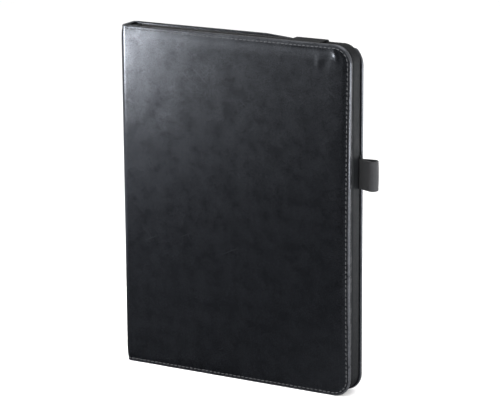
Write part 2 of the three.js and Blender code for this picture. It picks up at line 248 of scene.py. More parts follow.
class SharedGroups:
    """Shader node groups that several finishes share, each built once."""

    @staticmethod
    def _start(name: str, inputs: dict[str, float | None], outputs: Sequence[str]) -> tuple:
        """Makes an empty group with named sockets.

        Args:
            name: the group's name.
            inputs: plain values of the number inputs, or None for a vector, by name.
            outputs: names of the number outputs.

        Returns:
            The desk, the inner sockets of the inputs and the node that takes the outputs.
        """
        tree = bpy.data.node_groups.new(name, "ShaderNodeTree")
        for label, value in inputs.items():
            kind = "NodeSocketVector" if value is None else "NodeSocketFloat"
            socket = tree.interface.new_socket(name=label, in_out="INPUT", socket_type=kind)
            if value is not None:
                socket.default_value = value
        for label in outputs:
            tree.interface.new_socket(name=label, in_out="OUTPUT", socket_type="NodeSocketFloat")
        desk = NodeDesk(tree)
        return desk, desk.add("NodeGroupInput").outputs, desk.add("NodeGroupOutput")

    @classmethod
    @cache
    def grain(cls) -> bpy.types.NodeTree:
        """Embossed leather grain: small pebbles with fine creases between, and slow mottling.

        Returns:
            The group's tree.
        """
        desk, given, out = cls._start(
            "leather grain", {"Vector": None, "Cells": 900.0}, ("Height", "Pores", "Mottle", "Wave")
        )
        vector, cells = given["Vector"], given["Cells"]
        sway = desk.noise(vector, 420.0, 2.0).outputs["Color"]
        sway = desk.vector_math("SUBTRACT", sway, (0.5, 0.5, 0.5))
        sway = desk.vector_math("MULTIPLY", sway, (0.0011,) * 3)
        moved = desk.vector_math("ADD", vector, sway)
        pebble = desk.add(
            "ShaderNodeTexVoronoi", {"feature": "DISTANCE_TO_EDGE"}, {"Vector": moved, "Scale": cells}
        ).outputs["Distance"]
        pebble = desk.remap(pebble, 0.0, 0.22)
        fine = desk.noise(vector, desk.math("MULTIPLY", cells, 3.1), 3.0, 0.6).outputs["Fac"]
        results = {
            "Height": desk.plus(desk.math("MULTIPLY", pebble, 0.62), fine, 0.38),
            "Pores": desk.math("SUBTRACT", 1.0, pebble),
            "Mottle": desk.noise(vector, 78.0, 4.0, 0.58).outputs["Fac"],
            "Wave": desk.noise(vector, 46.0, 2.0, 0.4).outputs["Fac"],
        }
        for label, value in results.items():
            desk.feed(out.inputs[label], value)
        return desk.tree

    @classmethod
    @cache
    def scratches(cls) -> bpy.types.NodeTree:
        """Sparse hair scratches in two directions.

        Returns:
            The group's tree.
        """
        desk, given, out = cls._start("hair scratches", {"Vector": None}, ("Mask",))
        masks = []
        for turn, stretch, seed in ((0.42, 900.0, 0.0), (-0.75, 1100.0, 3.7)):
            mapped = desk.add(
                "ShaderNodeMapping",
                None,
                {"Vector": given["Vector"], "Rotation": (0.0, turn, 0.0), "Location": (seed, 0.0, 0.0)},
            ).outputs["Vector"]
            drawn = desk.vector_math("MULTIPLY", mapped, (26.0, 26.0, stretch))
            masks.append(desk.remap(desk.noise(drawn, 1.0, 1.0).outputs["Fac"], 0.70, 0.76))
        patch = desk.remap(desk.noise(given["Vector"], 24.0, 2.0).outputs["Fac"], 0.46, 0.66)
        desk.feed(out.inputs["Mask"], desk.math("MULTIPLY", desk.math("MAXIMUM", *masks), patch))
        return desk.tree

    @classmethod
    @cache
    def wear(cls) -> bpy.types.NodeTree:
        """Rubbed edges: the painted edge mask broken up by fine noise.

        Returns:
            The group's tree.
        """
        desk, given, out = cls._start("edge wear", {"Vector": None, "Edge": 0.0}, ("Mask",))
        broken = desk.noise(given["Vector"], 260.0, 4.0, 0.65).outputs["Fac"]
        worn = desk.remap(desk.plus(broken, given["Edge"], 0.5), 0.72, 1.0)
        desk.feed(out.inputs["Mask"], desk.math("MULTIPLY", worn, given["Edge"]))
        return desk.tree

    @classmethod
    @cache
    def weave(cls) -> bpy.types.NodeTree:
        """Narrow woven rows across and along a band, their colour share a painted shade, darker in the
        hollows.

        Returns:
            The group's tree.
        """
        desk, given, out = cls._start(
            "band weave", {"Vector": None, "Ribs": 1000.0, "Picks": 1400.0}, ("Height", "Shade")
        )
        along, _, across = desk.parts(given["Vector"])
        turns = 2.0 * math.pi
        ribs = desk.math("SINE", desk.math("MULTIPLY", desk.math("MULTIPLY", across, given["Ribs"]), turns))
        picks = desk.math("MULTIPLY", desk.math("MULTIPLY", along, given["Picks"]), turns)
        picks = desk.math("SINE", desk.plus(picks, ribs, 1.3))
        fuzz = desk.noise(given["Vector"], 5200.0, 2.0).outputs["Fac"]
        height = desk.plus(desk.math("MULTIPLY", ribs, 0.3), picks, 0.22)
        height = desk.plus(desk.math("ADD", height, 0.5), fuzz, 0.2)
        desk.feed(out.inputs["Height"], height)
        # Painted shade: the colour share follows the height, darker in the hollows and lighter on the ridges.
        desk.feed(out.inputs["Shade"], desk.remap(height, 0.15, 0.95))
        return desk.tree


class Finish:
    """A surface finish, built as a material the first time that it is asked for."""

    slot: Slot

    def material(self) -> bpy.types.Material:
        """Returns the finish's material.

        Returns:
            The material, with all its nodes.
        """
        title = f"{self.slot.value} finish"
        if title not in bpy.data.materials:
            _, desk, shader = blank_material(title)
            pattern = desk.add("ShaderNodeAttribute", {"attribute_name": REST}).outputs["Vector"]
            self.build(desk, shader, pattern)
        return bpy.data.materials[title]

    def build(self, desk: NodeDesk, shader: bpy.types.Node, vector: bpy.types.NodeSocket) -> None:
        """Feeds the shader.

        Args:
            desk: the desk of the material's nodes.
            shader: the Principled shader.
            vector: the coordinates that follow the surface.
        """
        raise NotImplementedError

    @staticmethod
    def feed_shader(
        desk: NodeDesk, shader: bpy.types.Node, height: object, depth: float, values: dict
    ) -> None:
        """Feeds values and links to a shader, and a height through a Bump node.

        Args:
            desk: the desk of the material's nodes.
            shader: the Principled shader.
            height: the surface's height, from 0 to 1.
            depth: the depth of the relief, in millimetres.
            values: plain values and sockets by the shader's socket names.
        """
        for name, value in values.items():
            desk.feed(shader.inputs[name], value)
        node = desk.add("ShaderNodeBump", None, {"Height": height, "Distance": depth * MM, "Strength": 1.0})
        desk.feed(shader.inputs["Normal"], node.outputs["Normal"])


@dataclass(frozen=True)
class LeatherFinish(Finish):
    """Coated leather with an embossed grain, slow mottling, hair scratches and rubbed edges."""

    slot: Slot
    colour: Colour
    faded: Colour
    worn: Colour
    roughness: tuple[float, float]
    cells: float
    depth: float
    wave: float
    level: float
    tint: Colour
    crease: Colour = (0.002, 0.002, 0.0022)
    pore_shade: float = 0.55
    pore_roughness: float = 0.10
    scratch_shade: float = 0.12
    scratch_roughness: float = 0.12
    scratch_height: float = -0.3

    def build(self, desk: NodeDesk, shader: bpy.types.Node, vector: bpy.types.NodeSocket) -> None:
        """Makes the leather.

        Args:
            desk: the desk of the material's nodes.
            shader: the Principled shader.
            vector: the coordinates that follow the surface.
        """
        grain = desk.group(SharedGroups.grain(), Vector=vector, Cells=self.cells)
        lines = desk.group(SharedGroups.scratches(), Vector=vector)[0]
        edge = desk.add("ShaderNodeAttribute", {"attribute_name": EDGE}).outputs["Fac"]
        wear = desk.group(SharedGroups.wear(), Vector=vector, Edge=edge)[0]
        shade = desk.mix_colour(desk.remap(grain["Mottle"], 0.3, 0.72), self.colour, self.faded)
        shade = desk.mix_colour(desk.math("MULTIPLY", grain["Pores"], self.pore_shade), shade, self.crease)
        shade = desk.mix_colour(desk.math("MULTIPLY", lines, self.scratch_shade), shade, self.worn)
        rough = desk.remap(grain["Mottle"], 0.28, 0.72, *self.roughness)
        rough = desk.plus(rough, grain["Pores"], self.pore_roughness)
        height = desk.plus(grain["Height"], grain["Wave"], self.wave / self.depth)
        height = desk.plus(height, lines, self.scratch_height)
        values = {
            "Specular IOR Level": self.level,
            "Specular Tint": (*self.tint, 1.0),
            "Base Color": desk.mix_colour(wear, shade, self.worn),
            "Roughness": desk.plus(rough, lines, self.scratch_roughness),
        }
        self.feed_shader(desk, shader, height, self.depth, values)


@dataclass(frozen=True)
class FibreFinish(Finish):
    """A soft or fibrous surface such as suede, foam, greyboard or hook tape."""

    slot: Slot
    colour: Colour
    other: Colour
    roughness: float
    fibres: float
    depth: float
    sheen: float

    def build(self, desk: NodeDesk, shader: bpy.types.Node, vector: bpy.types.NodeSocket) -> None:
        """Makes the fibrous surface.

        Args:
            desk: the desk of the material's nodes.
            shader: the Principled shader.
            vector: the coordinates that follow the surface.
        """
        nap = desk.noise(vector, self.fibres, 4.0, 0.7).outputs["Fac"]
        cloud = desk.noise(vector, 95.0, 3.0, 0.6).outputs["Fac"]
        blend = desk.plus(desk.math("MULTIPLY", nap, 0.6), cloud, 0.4)
        values = {
            "Specular IOR Level": 0.2,
            "Sheen Weight": self.sheen,
            "Sheen Roughness": 0.5,
            "Base Color": desk.mix_colour(desk.remap(blend, 0.35, 0.68), self.colour, self.other),
            "Roughness": desk.remap(cloud, 0.3, 0.7, self.roughness - 0.06, self.roughness + 0.04),
        }
        self.feed_shader(desk, shader, nap, self.depth, values)


@dataclass(frozen=True)
class WovenFinish(Finish):
    """Thread, cord or elastic with a visible weave or twist."""

    slot: Slot
    colour: Colour
    other: Colour
    roughness: float
    ribs: float
    picks: float
    depth: float
    level: float = 0.3

    def build(self, desk: NodeDesk, shader: bpy.types.Node, vector: bpy.types.NodeSocket) -> None:
        """Makes the woven surface.

        Args:
            desk: the desk of the material's nodes.
            shader: the Principled shader.
            vector: the coordinates that follow the surface.
        """
        weave = desk.group(SharedGroups.weave(), Vector=vector, Ribs=self.ribs, Picks=self.picks)
        cloud = desk.noise(vector, 180.0, 3.0, 0.6).outputs["Fac"]
        # Painted shade from the weave, darker in its hollows, with a slow cloudy tone.
        shade = desk.plus(desk.math("MULTIPLY", weave["Shade"], 0.75), cloud, 0.25)
        values = {
            "Specular IOR Level": self.level,
            "Sheen Weight": 0.25,
            "Sheen Roughness": 0.45,
            "Base Color": desk.mix_colour(shade, self.colour, self.other),
            "Roughness": desk.remap(weave["Shade"], 0.0, 1.0, self.roughness + 0.08, self.roughness),
        }
        self.feed_shader(desk, shader, weave["Height"], self.depth, values)


@dataclass(frozen=True)
class PlatedFinish(Finish):
    """Nickel plated magnet with brushed lines."""

    slot: Slot
    colour: Colour
    other: Colour

    def build(self, desk: NodeDesk, shader: bpy.types.Node, vector: bpy.types.NodeSocket) -> None:
        """Makes the plating.

        Args:
            desk: the desk of the material's nodes.
            shader: the Principled shader.
            vector: the coordinates that follow the surface.
        """
        drawn = desk.vector_math("MULTIPLY", vector, (4000.0, 4000.0, 120.0))
        lines = desk.noise(drawn, 1.0, 3.0, 0.6).outputs["Fac"]
        values = {
            "Metallic": 1.0,
            "Base Color": desk.mix_colour(lines, self.colour, self.other),
            "Roughness": desk.remap(lines, 0.3, 0.7, 0.22, 0.42),
        }
        self.feed_shader(desk, shader, lines, 0.01, values)


GLOSS_LEATHER = LeatherFinish(
    Slot.GLOSS,
    colour=(0.0016, 0.0018, 0.0023),
    faded=(0.0028, 0.0031, 0.0039),
    worn=(0.030, 0.031, 0.034),
    roughness=(0.168, 0.203),
    cells=1250.0,
    depth=0.006,
    wave=0.27,
    level=0.5,
    tint=(0.83, 0.89, 1.0),
)
MATT_LEATHER = LeatherFinish(
    Slot.MATT,
    colour=(0.0034, 0.0037, 0.0042),
    faded=(0.0056, 0.0060, 0.0067),
    worn=(0.040, 0.040, 0.042),
    roughness=(0.55, 0.66),
    cells=1500.0,
    depth=0.045,
    wave=0.05,
    level=0.18,
    tint=(0.9, 0.95, 1.0),
)
SUEDE = FibreFinish(Slot.SUEDE, (0.012, 0.012, 0.013), (0.026, 0.026, 0.028), 0.9, 3400.0, 0.09, 0.35)
FOAM = FibreFinish(Slot.FOAM, (0.20, 0.20, 0.21), (0.32, 0.32, 0.33), 0.85, 1700.0, 0.12, 0.1)
GREYBOARD = FibreFinish(Slot.BOARD, (0.20, 0.19, 0.18), (0.33, 0.32, 0.30), 0.86, 2600.0, 0.05, 0.0)
HOOK_TAPE = FibreFinish(Slot.HOOK, (0.008, 0.008, 0.009), (0.045, 0.045, 0.048), 0.8, 2300.0, 0.35, 0.4)
ELASTIC = WovenFinish(Slot.WEBBING, (0.004, 0.004, 0.005), (0.030, 0.031, 0.034), 0.66, 1150.0, 900.0, 0.10)
GREY_THREAD = WovenFinish(
    Slot.THREAD_GREY, (0.010, 0.0105, 0.012), (0.064, 0.066, 0.071), 0.6, 1500.0, 2400.0, 0.05, 0.16
)
BLACK_THREAD = WovenFinish(
    Slot.THREAD_BLACK, (0.006, 0.006, 0.007), (0.03, 0.03, 0.032), 0.55, 1500.0, 2400.0, 0.05
)
MAGNET = PlatedFinish(Slot.MAGNET, (0.50, 0.50, 0.49), (0.66, 0.66, 0.65))


# --------------------------------------------------------------------------- mesh helpers


def arc(centre: Point, radius: float, start: float, stop: float, steps: int) -> list[Point]:
    """Lists the points of an arc, its angles in degrees.

    Args:
        centre: the arc's centre.
        radius: its radius.
        start: the first angle.
        stop: the last angle.
        steps: how many parts it has.

    Returns:
        One point more than it has parts.
    """
    points = []
    for i in range(steps + 1):
        angle = math.radians(start + (stop - start) * i / steps)
        points.append((centre[0] + radius * math.cos(angle), centre[1] + radius * math.sin(angle)))
    return points


def evenly(low: float, high: float, count: int) -> list[float]:
    """Lists the places that divide a span into equal parts, without its ends."""
    return [low + (high - low) * i / count for i in range(1, count)]


def line(start: Point, stop: Point, steps: int) -> list[Point]:
    """Lists the points of a straight line, both ends included.

    Args:
        start: the first point.
        stop: the last point.
        steps: how many parts it has.

    Returns:
        One point more than it has parts.
    """
    return [
        (start[0] + (stop[0] - start[0]) * i / steps, start[1] + (stop[1] - start[1]) * i / steps)
        for i in range(steps + 1)
    ]


def path_length(path: Sequence[Point]) -> float:
    """Adds up the lengths of a path's sides."""
    return sum(math.hypot(b[0] - a[0], b[1] - a[1]) for a, b in zip(path, path[1:]))


def inset(
    outline: Sequence[Point], distance: float, closed: bool = True, still: int | None = None
) -> list[Point]:
    """Moves the sides of an outline to their left, with mitred corners.

    Args:
        outline: the corners, counter-clockwise when the inside is to be reached.
        distance: how far the sides move.
        closed: whether the last corner joins the first.
        still: the number of a side that stays where it is.

    Returns:
        As many points as the outline has.
    """
    count = len(outline)
    moved: list[Point] = []
    for i, here in enumerate(outline):
        sides = []
        for side in (i - 1, i):
            if not closed and not 0 <= side < count - 1:
                continue
            a, b = outline[side % count], outline[(side + 1) % count]
            length = math.hypot(b[0] - a[0], b[1] - a[1])
            shift = 0.0 if still is not None and side % count == still % count else distance
            sides.append((-(b[1] - a[1]) / length, (b[0] - a[0]) / length, shift))
        x0, y0, d0 = sides[0]
        x1, y1, d1 = sides[-1]
        det = x0 * y1 - y0 * x1
        if abs(det) < 1e-4:
            moved.append((here[0] + x0 * d0, here[1] + y0 * d0))
        else:
            moved.append((here[0] + (d0 * y1 - d1 * y0) / det, here[1] + (x0 * d1 - x1 * d0) / det))
    return moved


def rounded_outline(low: Point, high: Point, radii: Sequence[float], steps: int = 10) -> list[Point]:
    """Lists a rectangle with rounded corners, counter-clockwise from the lower left.

    Args:
        low: the lowest corner.
        high: the highest corner.
        radii: the four corner radii, in the same order.
        steps: how many parts each corner has.

    Returns:
        The outline's points.
    """
    (x0, z0), (x1, z1) = low, high
    places = ((x0, z0, 1, 1, 180), (x1, z0, -1, 1, 270), (x1, z1, -1, -1, 0), (x0, z1, 1, -1, 90))
    points: list[Point] = []
    for (x, z, dx, dz, start), radius in zip(places, radii):
        points += arc((x + dx * radius, z + dz * radius), radius, start, start + 90, steps)
    return points


def walk(path: Sequence[Point], pitch: float, closed: bool) -> list[tuple[Point, Point]]:
    """Places evenly spaced marks along a path.

    Args:
        path: the corners of the path.
        pitch: the spacing wanted, fitted to a whole number of marks.
        closed: whether the path closes on its start.

    Returns:
        The place and the direction of each mark.
    """
    corners = list(path) + ([path[0]] if closed else [])
    lengths = [math.hypot(b[0] - a[0], b[1] - a[1]) for a, b in zip(corners, corners[1:])]
    total = sum(lengths)
    count = max(1, round(total / pitch))
    marks: list[tuple[Point, Point]] = []
    side, passed = 0, 0.0
    for i in range(count):
        wanted = (i + 0.5) * total / count
        while side < len(lengths) - 1 and passed + lengths[side] < wanted:
            passed += lengths[side]
            side += 1
        a, b = corners[side], corners[side + 1]
        t = (wanted - passed) / lengths[side]
        step = ((b[0] - a[0]) / lengths[side], (b[1] - a[1]) / lengths[side])
        marks.append(((a[0] + (b[0] - a[0]) * t, a[1] + (b[1] - a[1]) * t), step))
    return marks


def soft_step(value: float, low: float, high: float) -> float:
    """Rises smoothly from 0 to 1 between two limits."""
    t = min(1.0, max(0.0, (value - low) / (high - low)))
    return t * t * (3 - 2 * t)


class Workbench:
    """Makes, shapes and dresses the pieces."""

    @staticmethod
    def only(piece: bpy.types.Object) -> None:
        """Selects one object alone and makes it active.

        Args:
            piece: the object.
        """
        bpy.ops.object.select_all(action="DESELECT")
        piece.select_set(True)
        bpy.context.view_layer.objects.active = piece

    @classmethod
    def modify(cls, piece: bpy.types.Object, kind: str, settings: dict) -> None:
        """Adds a modifier and applies it.

        Args:
            piece: the object.
            kind: the modifier's type name.
            settings: its properties by name.
        """
        cls.only(piece)
        modifier = piece.modifiers.new(kind.title(), kind)
        for name, value in settings.items():
            setattr(modifier, name, value)
        bpy.ops.object.modifier_apply(modifier=modifier.name)

    @classmethod
    def smooth(cls, piece: bpy.types.Object, degrees: float = 38.0) -> None:
        """Shades a piece smooth, up to an angle."""
        cls.only(piece)
        bpy.ops.object.shade_smooth_by_angle(angle=math.radians(degrees))

    @staticmethod
    def piece(name: str, bm: bmesh.types.BMesh) -> bpy.types.Object:
        """Turns a bmesh into an object of that name.

        Args:
            name: the object's name.
            bm: the shape, which is used up.

        Returns:
            The new object.
        """
        mesh = bpy.data.meshes.new(name)
        bm.to_mesh(mesh)
        bm.free()
        made = bpy.data.objects.new(name, mesh)
        bpy.context.scene.collection.objects.link(made)
        return made

    @staticmethod
    def layers(bm: bmesh.types.BMesh) -> tuple:
        """Returns the layers that hold the pattern's coordinates and the edge mask.

        Args:
            bm: the mesh, which gets the layers if it has none.

        Returns:
            The coordinates' layer and the mask's layer.
        """
        rest = bm.verts.layers.float_vector.get(REST) or bm.verts.layers.float_vector.new(REST)
        edge = bm.verts.layers.float.get(EDGE) or bm.verts.layers.float.new(EDGE)
        return rest, edge

    @staticmethod
    def dress(piece: bpy.types.Object, finish: Finish) -> bpy.types.Object:
        """Gives a piece its material.

        Args:
            piece: the piece.
            finish: what it is made of.

        Returns:
            The same piece.
        """
        piece.data.materials.clear()
        piece.data.materials.append(finish.material())
        return piece

    @staticmethod
    def slice_up(bm: bmesh.types.BMesh, axis: Vector, places: Sequence[float]) -> None:
        """Cuts a mesh by parallel planes, so that it can bend.

        Args:
            bm: the mesh.
            axis: the direction that the planes face.
            places: where the planes lie along it.
        """
        for place in places:
            everything = bm.verts[:] + bm.edges[:] + bm.faces[:]
            bmesh.ops.bisect_plane(bm, geom=everything, plane_co=axis * place, plane_no=axis, dist=WELD)

    @staticmethod
    def face_towards(bm: bmesh.types.BMesh, direction: Vector) -> None:
        """Makes the normals agree, with the widest face looking in a direction.

        Args:
            bm: the mesh.
            direction: where the widest face has to look.
        """
        bmesh.ops.recalc_face_normals(bm, faces=bm.faces[:])
        bm.normal_update()
        widest = max(bm.faces, key=lambda face: face.calc_area())
        if widest.normal.dot(direction) < 0:
            bmesh.ops.reverse_faces(bm, faces=bm.faces[:])

    @staticmethod
    def loft(
        rings: Sequence[Sequence[bmesh.types.BMVert]], bm: bmesh.types.BMesh, closed: bool, skip: int = -1
    ) -> None:
        """Joins rings of vertices with faces.

        Args:
            rings: rows of vertices of the same length.
            bm: the mesh they are in.
            closed: whether each row closes on its start.
            skip: the number of a side that is left open.
        """
        for lower, upper in zip(rings, rings[1:]):
            count = len(lower)
            for i in range(count if closed else count - 1):
                if i == skip:
                    continue
                j = (i + 1) % count
                bm.faces.new((lower[i], lower[j], upper[j], upper[i]))

    @classmethod
    def copy_node(
        cls, node: str, name: str, finish: Finish, bevel: float, place: Place | None = None
    ) -> bpy.types.Object:
        """Copies a CAD node as a new piece with rounded edges.

        Args:
            node: the CAD node.
            name: the new piece's name.
            finish: what it is made of.
            bevel: the rounding, in millimetres.
            place: a mapping of its points, where it is bent.

        Returns:
            The new piece, which replaces the node.
        """
        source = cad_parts[node]
        bm = bmesh.new()
        bm.from_mesh(source.data)
        bmesh.ops.remove_doubles(bm, verts=bm.verts[:], dist=WELD)
        bmesh.ops.dissolve_limit(bm, angle_limit=math.radians(0.5), verts=bm.verts[:], edges=bm.edges[:])
        piece = cls.piece(name, bm)
        rounding = {"segments": 3, "limit_method": "ANGLE", "angle_limit": math.radians(35)}
        cls.modify(piece, "BEVEL", {"width": bevel * MM, **rounding})
        bm = bmesh.new()
        bm.from_mesh(piece.data)
        rest, edge = cls.layers(bm)
        if place is not None:
            low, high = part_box(node)
            for axis, index in ((ACROSS, 0), (UPWARD, 2)):
                steps = max(2, round((high[index] - low[index]) / (BEND_PITCH * MM)))
                cls.slice_up(bm, axis, evenly(low[index], high[index], steps))
        for vert in bm.verts:
            vert[rest] = vert.co
            sharp = max((e.calc_face_angle(0.0) for e in vert.link_edges), default=0.0)
            vert[edge] = 0.6 if sharp > 0.3 else 0.0
            if place is not None:
                vert.co = place(*vert.co)
        bm.to_mesh(piece.data)
        bm.free()
        cls.smooth(piece)
        cls.dress(piece, finish)
        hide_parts(node)
        return piece


BENCH = Workbench


@dataclass
class StitchRow:
    """A row of sewn stitches, each a copy of one small thread."""

    pitch: float = 3.5
    length: float = 2.5
    width: float = 0.85
    flatness: float = 0.72
    roundness: float = 0.86
    blunt: float = 3.2
    swell: float = 1.6
    sink: float = 0.02
    lean: float = 4.0
    lean_spread: float = 3.0
    growth: Point = (0.94, 1.04)
    end_dip: float = 0.10
    seed: int = 5

    def thread(self) -> bmesh.types.BMesh:
        """Models the one stitch, its length along X.

        Returns:
            The stitch's mesh, in millimetres.
        """
        bm = bmesh.new()
        bmesh.ops.create_uvsphere(bm, u_segments=6, v_segments=8, radius=0.5)
        bmesh.ops.rotate(bm, verts=bm.verts[:], cent=(0, 0, 0), matrix=Matrix.Rotation(math.pi / 2, 3, "Y"))
        for vert in bm.verts:
            reach = abs(vert.co.x) * 2
            if reach < 0.999:
                swell = min(math.sqrt((1 - reach**self.blunt) / (1 - reach**2)), self.swell)
                vert.co.y *= swell
                vert.co.z *= swell
            vert.co.x *= self.length
            vert.co.y *= self.width * self.flatness
            vert.co.z *= self.width * self.roundness
        return bm

    def sew(
        self,
        name: str,
        marks: Sequence[tuple[Point, Point]],
        depth: Callable[[Point], float],
        place: Place,
        finish: Finish,
    ) -> bpy.types.Object:
        """Sews a row.

        Args:
            name: the new piece's name.
            marks: place and direction of each stitch on the flat pattern.
            depth: how deep the surface is at a place.
            place: the mapping from the flat pattern to the case.
            finish: the thread.

        Returns:
            All stitches as one piece.
        """
        rng = random.Random(self.seed)
        template = self.thread()
        bm = bmesh.new()
        rest, _ = BENCH.layers(bm)
        for (s, z), (ds, dz) in marks:
            lean = math.radians(rng.uniform(-self.lean_spread, self.lean_spread) + self.lean)
            grow = rng.uniform(*self.growth)
            cs, sn = math.cos(lean), math.sin(lean)
            along = (ds * cs - dz * sn, ds * sn + dz * cs)
            level = depth((s, z)) + self.sink
            new: dict[bmesh.types.BMVert, bmesh.types.BMVert] = {}
            for vert in template.verts:
                x, y, w = vert.co.x * grow, vert.co.y, vert.co.z
                rise = level - y + self.end_dip * (2 * abs(x) / self.length) ** 2
                flat = (s + along[0] * x - along[1] * w, rise, z + along[1] * x + along[0] * w)
                copy = bm.verts.new(place(*flat))
                copy[rest] = Vector((x + s + z, y, w)) * MM
                new[vert] = copy
            for face in template.faces:
                bm.faces.new([new[v] for v in face.verts])
        template.free()
        bmesh.ops.recalc_face_normals(bm, faces=bm.faces[:])
        piece = BENCH.piece(name, bm)
        BENCH.smooth(piece, 80)
        return BENCH.dress(piece, finish)


# --------------------------------------------------------------------------- covers


@dataclass(frozen=True)
class CaseSizes:
    """Main sizes of the closed case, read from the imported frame, in millimetres."""

    spine: float
    free: float
    front: float
    back: float
    height: float
    fold: float = 5.0
    spine_thick: float = 2.95

    @classmethod
    def read(cls) -> CaseSizes:
        """Reads the sizes from the CAD nodes' boxes.

        Returns:
            The sizes.
        """
        front_low, front_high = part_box("front_skin")
        back_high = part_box("back_skin")[1]
        spine_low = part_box("spine_skin")[0]
        places = (spine_low[0], front_high[0], front_low[1], back_high[1], front_high[2])
        return cls(*(place / MM for place in places))

    @property
    def width(self) -> float:
        """Width of a cover, spine included."""
        return self.free - self.spine

    @property
    def depth(self) -> float:
        """Thickness of the closed case."""
        return self.back - self.front

    @property
    def mid_spine(self) -> float:
        """Where the middle of the spine lies on a cover's flat pattern."""
        return self.fold * (1 - math.pi / 2) - (self.depth / 2 - self.fold)


@dataclass
class FoldingCover:
    """One cover with its half of the spine: leather outside, suede lining inside, stitches round the edge."""

    sizes: CaseSizes
    side: Body
    sign: int
    thick: float
    rings: Sequence[Point]
    outline: list[Point] = field(default_factory=list)
    leather: float = 0.35
    lining: float = 0.22
    thin_reach: float = 9.0
    blend_depth: float = 3.0
    blend_reach: float = 4.0
    fold_pitch: float = 0.62
    fine_pitch: float = 1.6
    bow: float = 0.0
    puckers: Sequence[tuple[float, float, float, float, float, float]] = ()
    stitch_inset: float = 2.6
    stitch_depth: float = 0.95

    @property
    def face(self) -> float:
        """Where the cover's outer face lies, from front to back."""
        return self.sizes.front if self.sign > 0 else self.sizes.back

    def scale(self, s: float) -> float:
        """Local share of the cover's thickness, lower over the fold and the spine."""
        thin = self.sizes.spine_thick / self.thick
        return thin + (1 - thin) * soft_step(s, 0.0, self.thin_reach)

    def bend(self, x: float, z: float) -> float:
        """How far the cover bows outwards at a place, in millimetres.

        Args:
            x: the place across the case.
            z: the height.

        Returns:
            The height of the bow there.
        """
        reach = max(0.0, (x - self.sizes.spine) / self.sizes.width)
        across = 2 * z / self.sizes.height - 1
        return self.bow * reach * reach * max(0.0, 1 - across * across)

    def pucker(self, s: float, z: float) -> float:
        """Adds up the soft ridges that the sewing pulls into the padded face, in millimetres.

        Args:
            s: the distance from the spine's corner.
            z: the height.

        Returns:
            The height of the ridges there.
        """
        total = 0.0
        for middle, height, turn, wide, long, rise in self.puckers:
            angle = math.radians(turn)
            along = (s - middle) * math.sin(angle) + (z - height) * math.cos(angle)
            across = (s - middle) * math.cos(angle) - (z - height) * math.sin(angle)
            total += rise * math.exp(-((across / wide) ** 2) - (along / long) ** 2)
        return total

    def place(self, s: float, depth: float, z: float) -> Vector:
        """Maps the flat pattern round the fold and along the spine.

        Args:
            s: the distance from the spine's corner, negative round the fold.
            depth: the distance below the outer face.
            z: the height.

        Returns:
            The place in the case, in metres.
        """
        radius, x0, face = self.sizes.fold, self.sizes.spine, self.face
        if s >= radius:
            x, y = x0 + s, face + self.sign * depth
        elif s >= radius * (1 - math.pi / 2):
            angle = (radius - s) / radius
            x = x0 + radius - (radius - depth) * math.sin(angle)
            y = face + self.sign * (radius - (radius - depth) * math.cos(angle))
        else:
            x, y = x0 + depth, face + self.sign * (2 * radius - radius * math.pi / 2 - s)
        y -= self.sign * self.bend(x, z)
        return Vector((x, y, z)) * MM

    def bent(self, x: float, y: float, z: float) -> Vector:
        """Bows a point of a flat part with the cover, in metres."""
        return Vector((x, y - self.sign * self.bend(x / MM, z / MM) * MM, z))

    def blend(self, piece: bpy.types.Object) -> None:
        """Bakes a piece's placement into its mesh.

        Args:
            piece: the piece that covers the fold.
        """
        if self.sign > 0:
            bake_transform(piece)
        else:
            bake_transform(piece)

    def columns(self) -> list[float]:
        """Places of the cuts along the pattern, close together round the fold.

        Returns:
            Distances from the spine's corner.
        """
        low, high = self.sizes.mid_spine, self.sizes.width
        pitch = self.fold_pitch
        close = [low + 1.2 + pitch * i for i in range(int((7.5 - low) / pitch))]
        wide = [9.5 + (high - 9.5) * i / 18 for i in range(18)]
        fine = [high - 40.0 + self.fine_pitch * i for i in range(22)] if self.puckers else []
        return close + wide + fine

    def rows(self) -> list[float]:
        """Heights of the cuts across the pattern, closer where the face puckers.

        Returns:
            Heights above the lower edge.
        """
        high = self.sizes.height
        fine = [high - 30.0 + self.fine_pitch * i for i in range(16)] if self.puckers else []
        return evenly(0.0, high, 22) + fine

    def shell(
        self, name: str, outline: list[Point], rings: Sequence[Point], wall: float
    ) -> bpy.types.Object:
        """Builds a turned-over sheet on the fold.

        Args:
            name: the new piece's name.
            outline: the pattern, its last side being the middle of the spine.
            rings: inset and depth of each ring, from the turned edge to the middle of the face.
            wall: the sheet's own thickness.

        Returns:
            The sheet.
        """
        still = len(outline) - 1
        bm = bmesh.new()
        rest, edge = BENCH.layers(bm)
        rows = []
        for distance, depth in rings:
            row = []
            for s, z in inset(outline, distance, still=still):
                vert = bm.verts.new((s, depth, z))
                vert[edge] = 1.0 if distance < 1.2 and depth < 3.8 else 0.0
                row.append(vert)
            rows.append(row)
        BENCH.loft(rows, bm, closed=True, skip=still)
        bm.faces.new(rows[-1])
        BENCH.slice_up(bm, ACROSS, self.columns())
        BENCH.slice_up(bm, UPWARD, self.rows())
        bmesh.ops.remove_doubles(bm, verts=bm.verts[:], dist=1e-4)
        for vert in bm.verts:
            vert[rest] = vert.co * MM
            s, depth, z = vert.co
            lift = self.pucker(s, z) if depth < 0.9 else 0.0
            vert.co = self.place(s, depth * self.scale(s) - lift, z)
        BENCH.face_towards(bm, Vector((0, -self.sign, 0)))
        piece = BENCH.piece(name, bm)
        BENCH.modify(piece, "SOLIDIFY", {"thickness": wall * MM, "offset": -1.0})
        BENCH.smooth(piece)
        return piece

    def build_leather(self, replaced: Sequence[str]) -> bpy.types.Object:
        """Wraps the cover in leather.

        Args:
            replaced: the CAD nodes that the leather stands for.

        Returns:
            The leather.
        """
        name = f"{self.side.value}_leather"
        piece = self.shell(name, self.outline, self.rings, self.leather)
        BENCH.dress(piece, GLOSS_LEATHER)
        self.blend(piece)
        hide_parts(*replaced)
        return piece

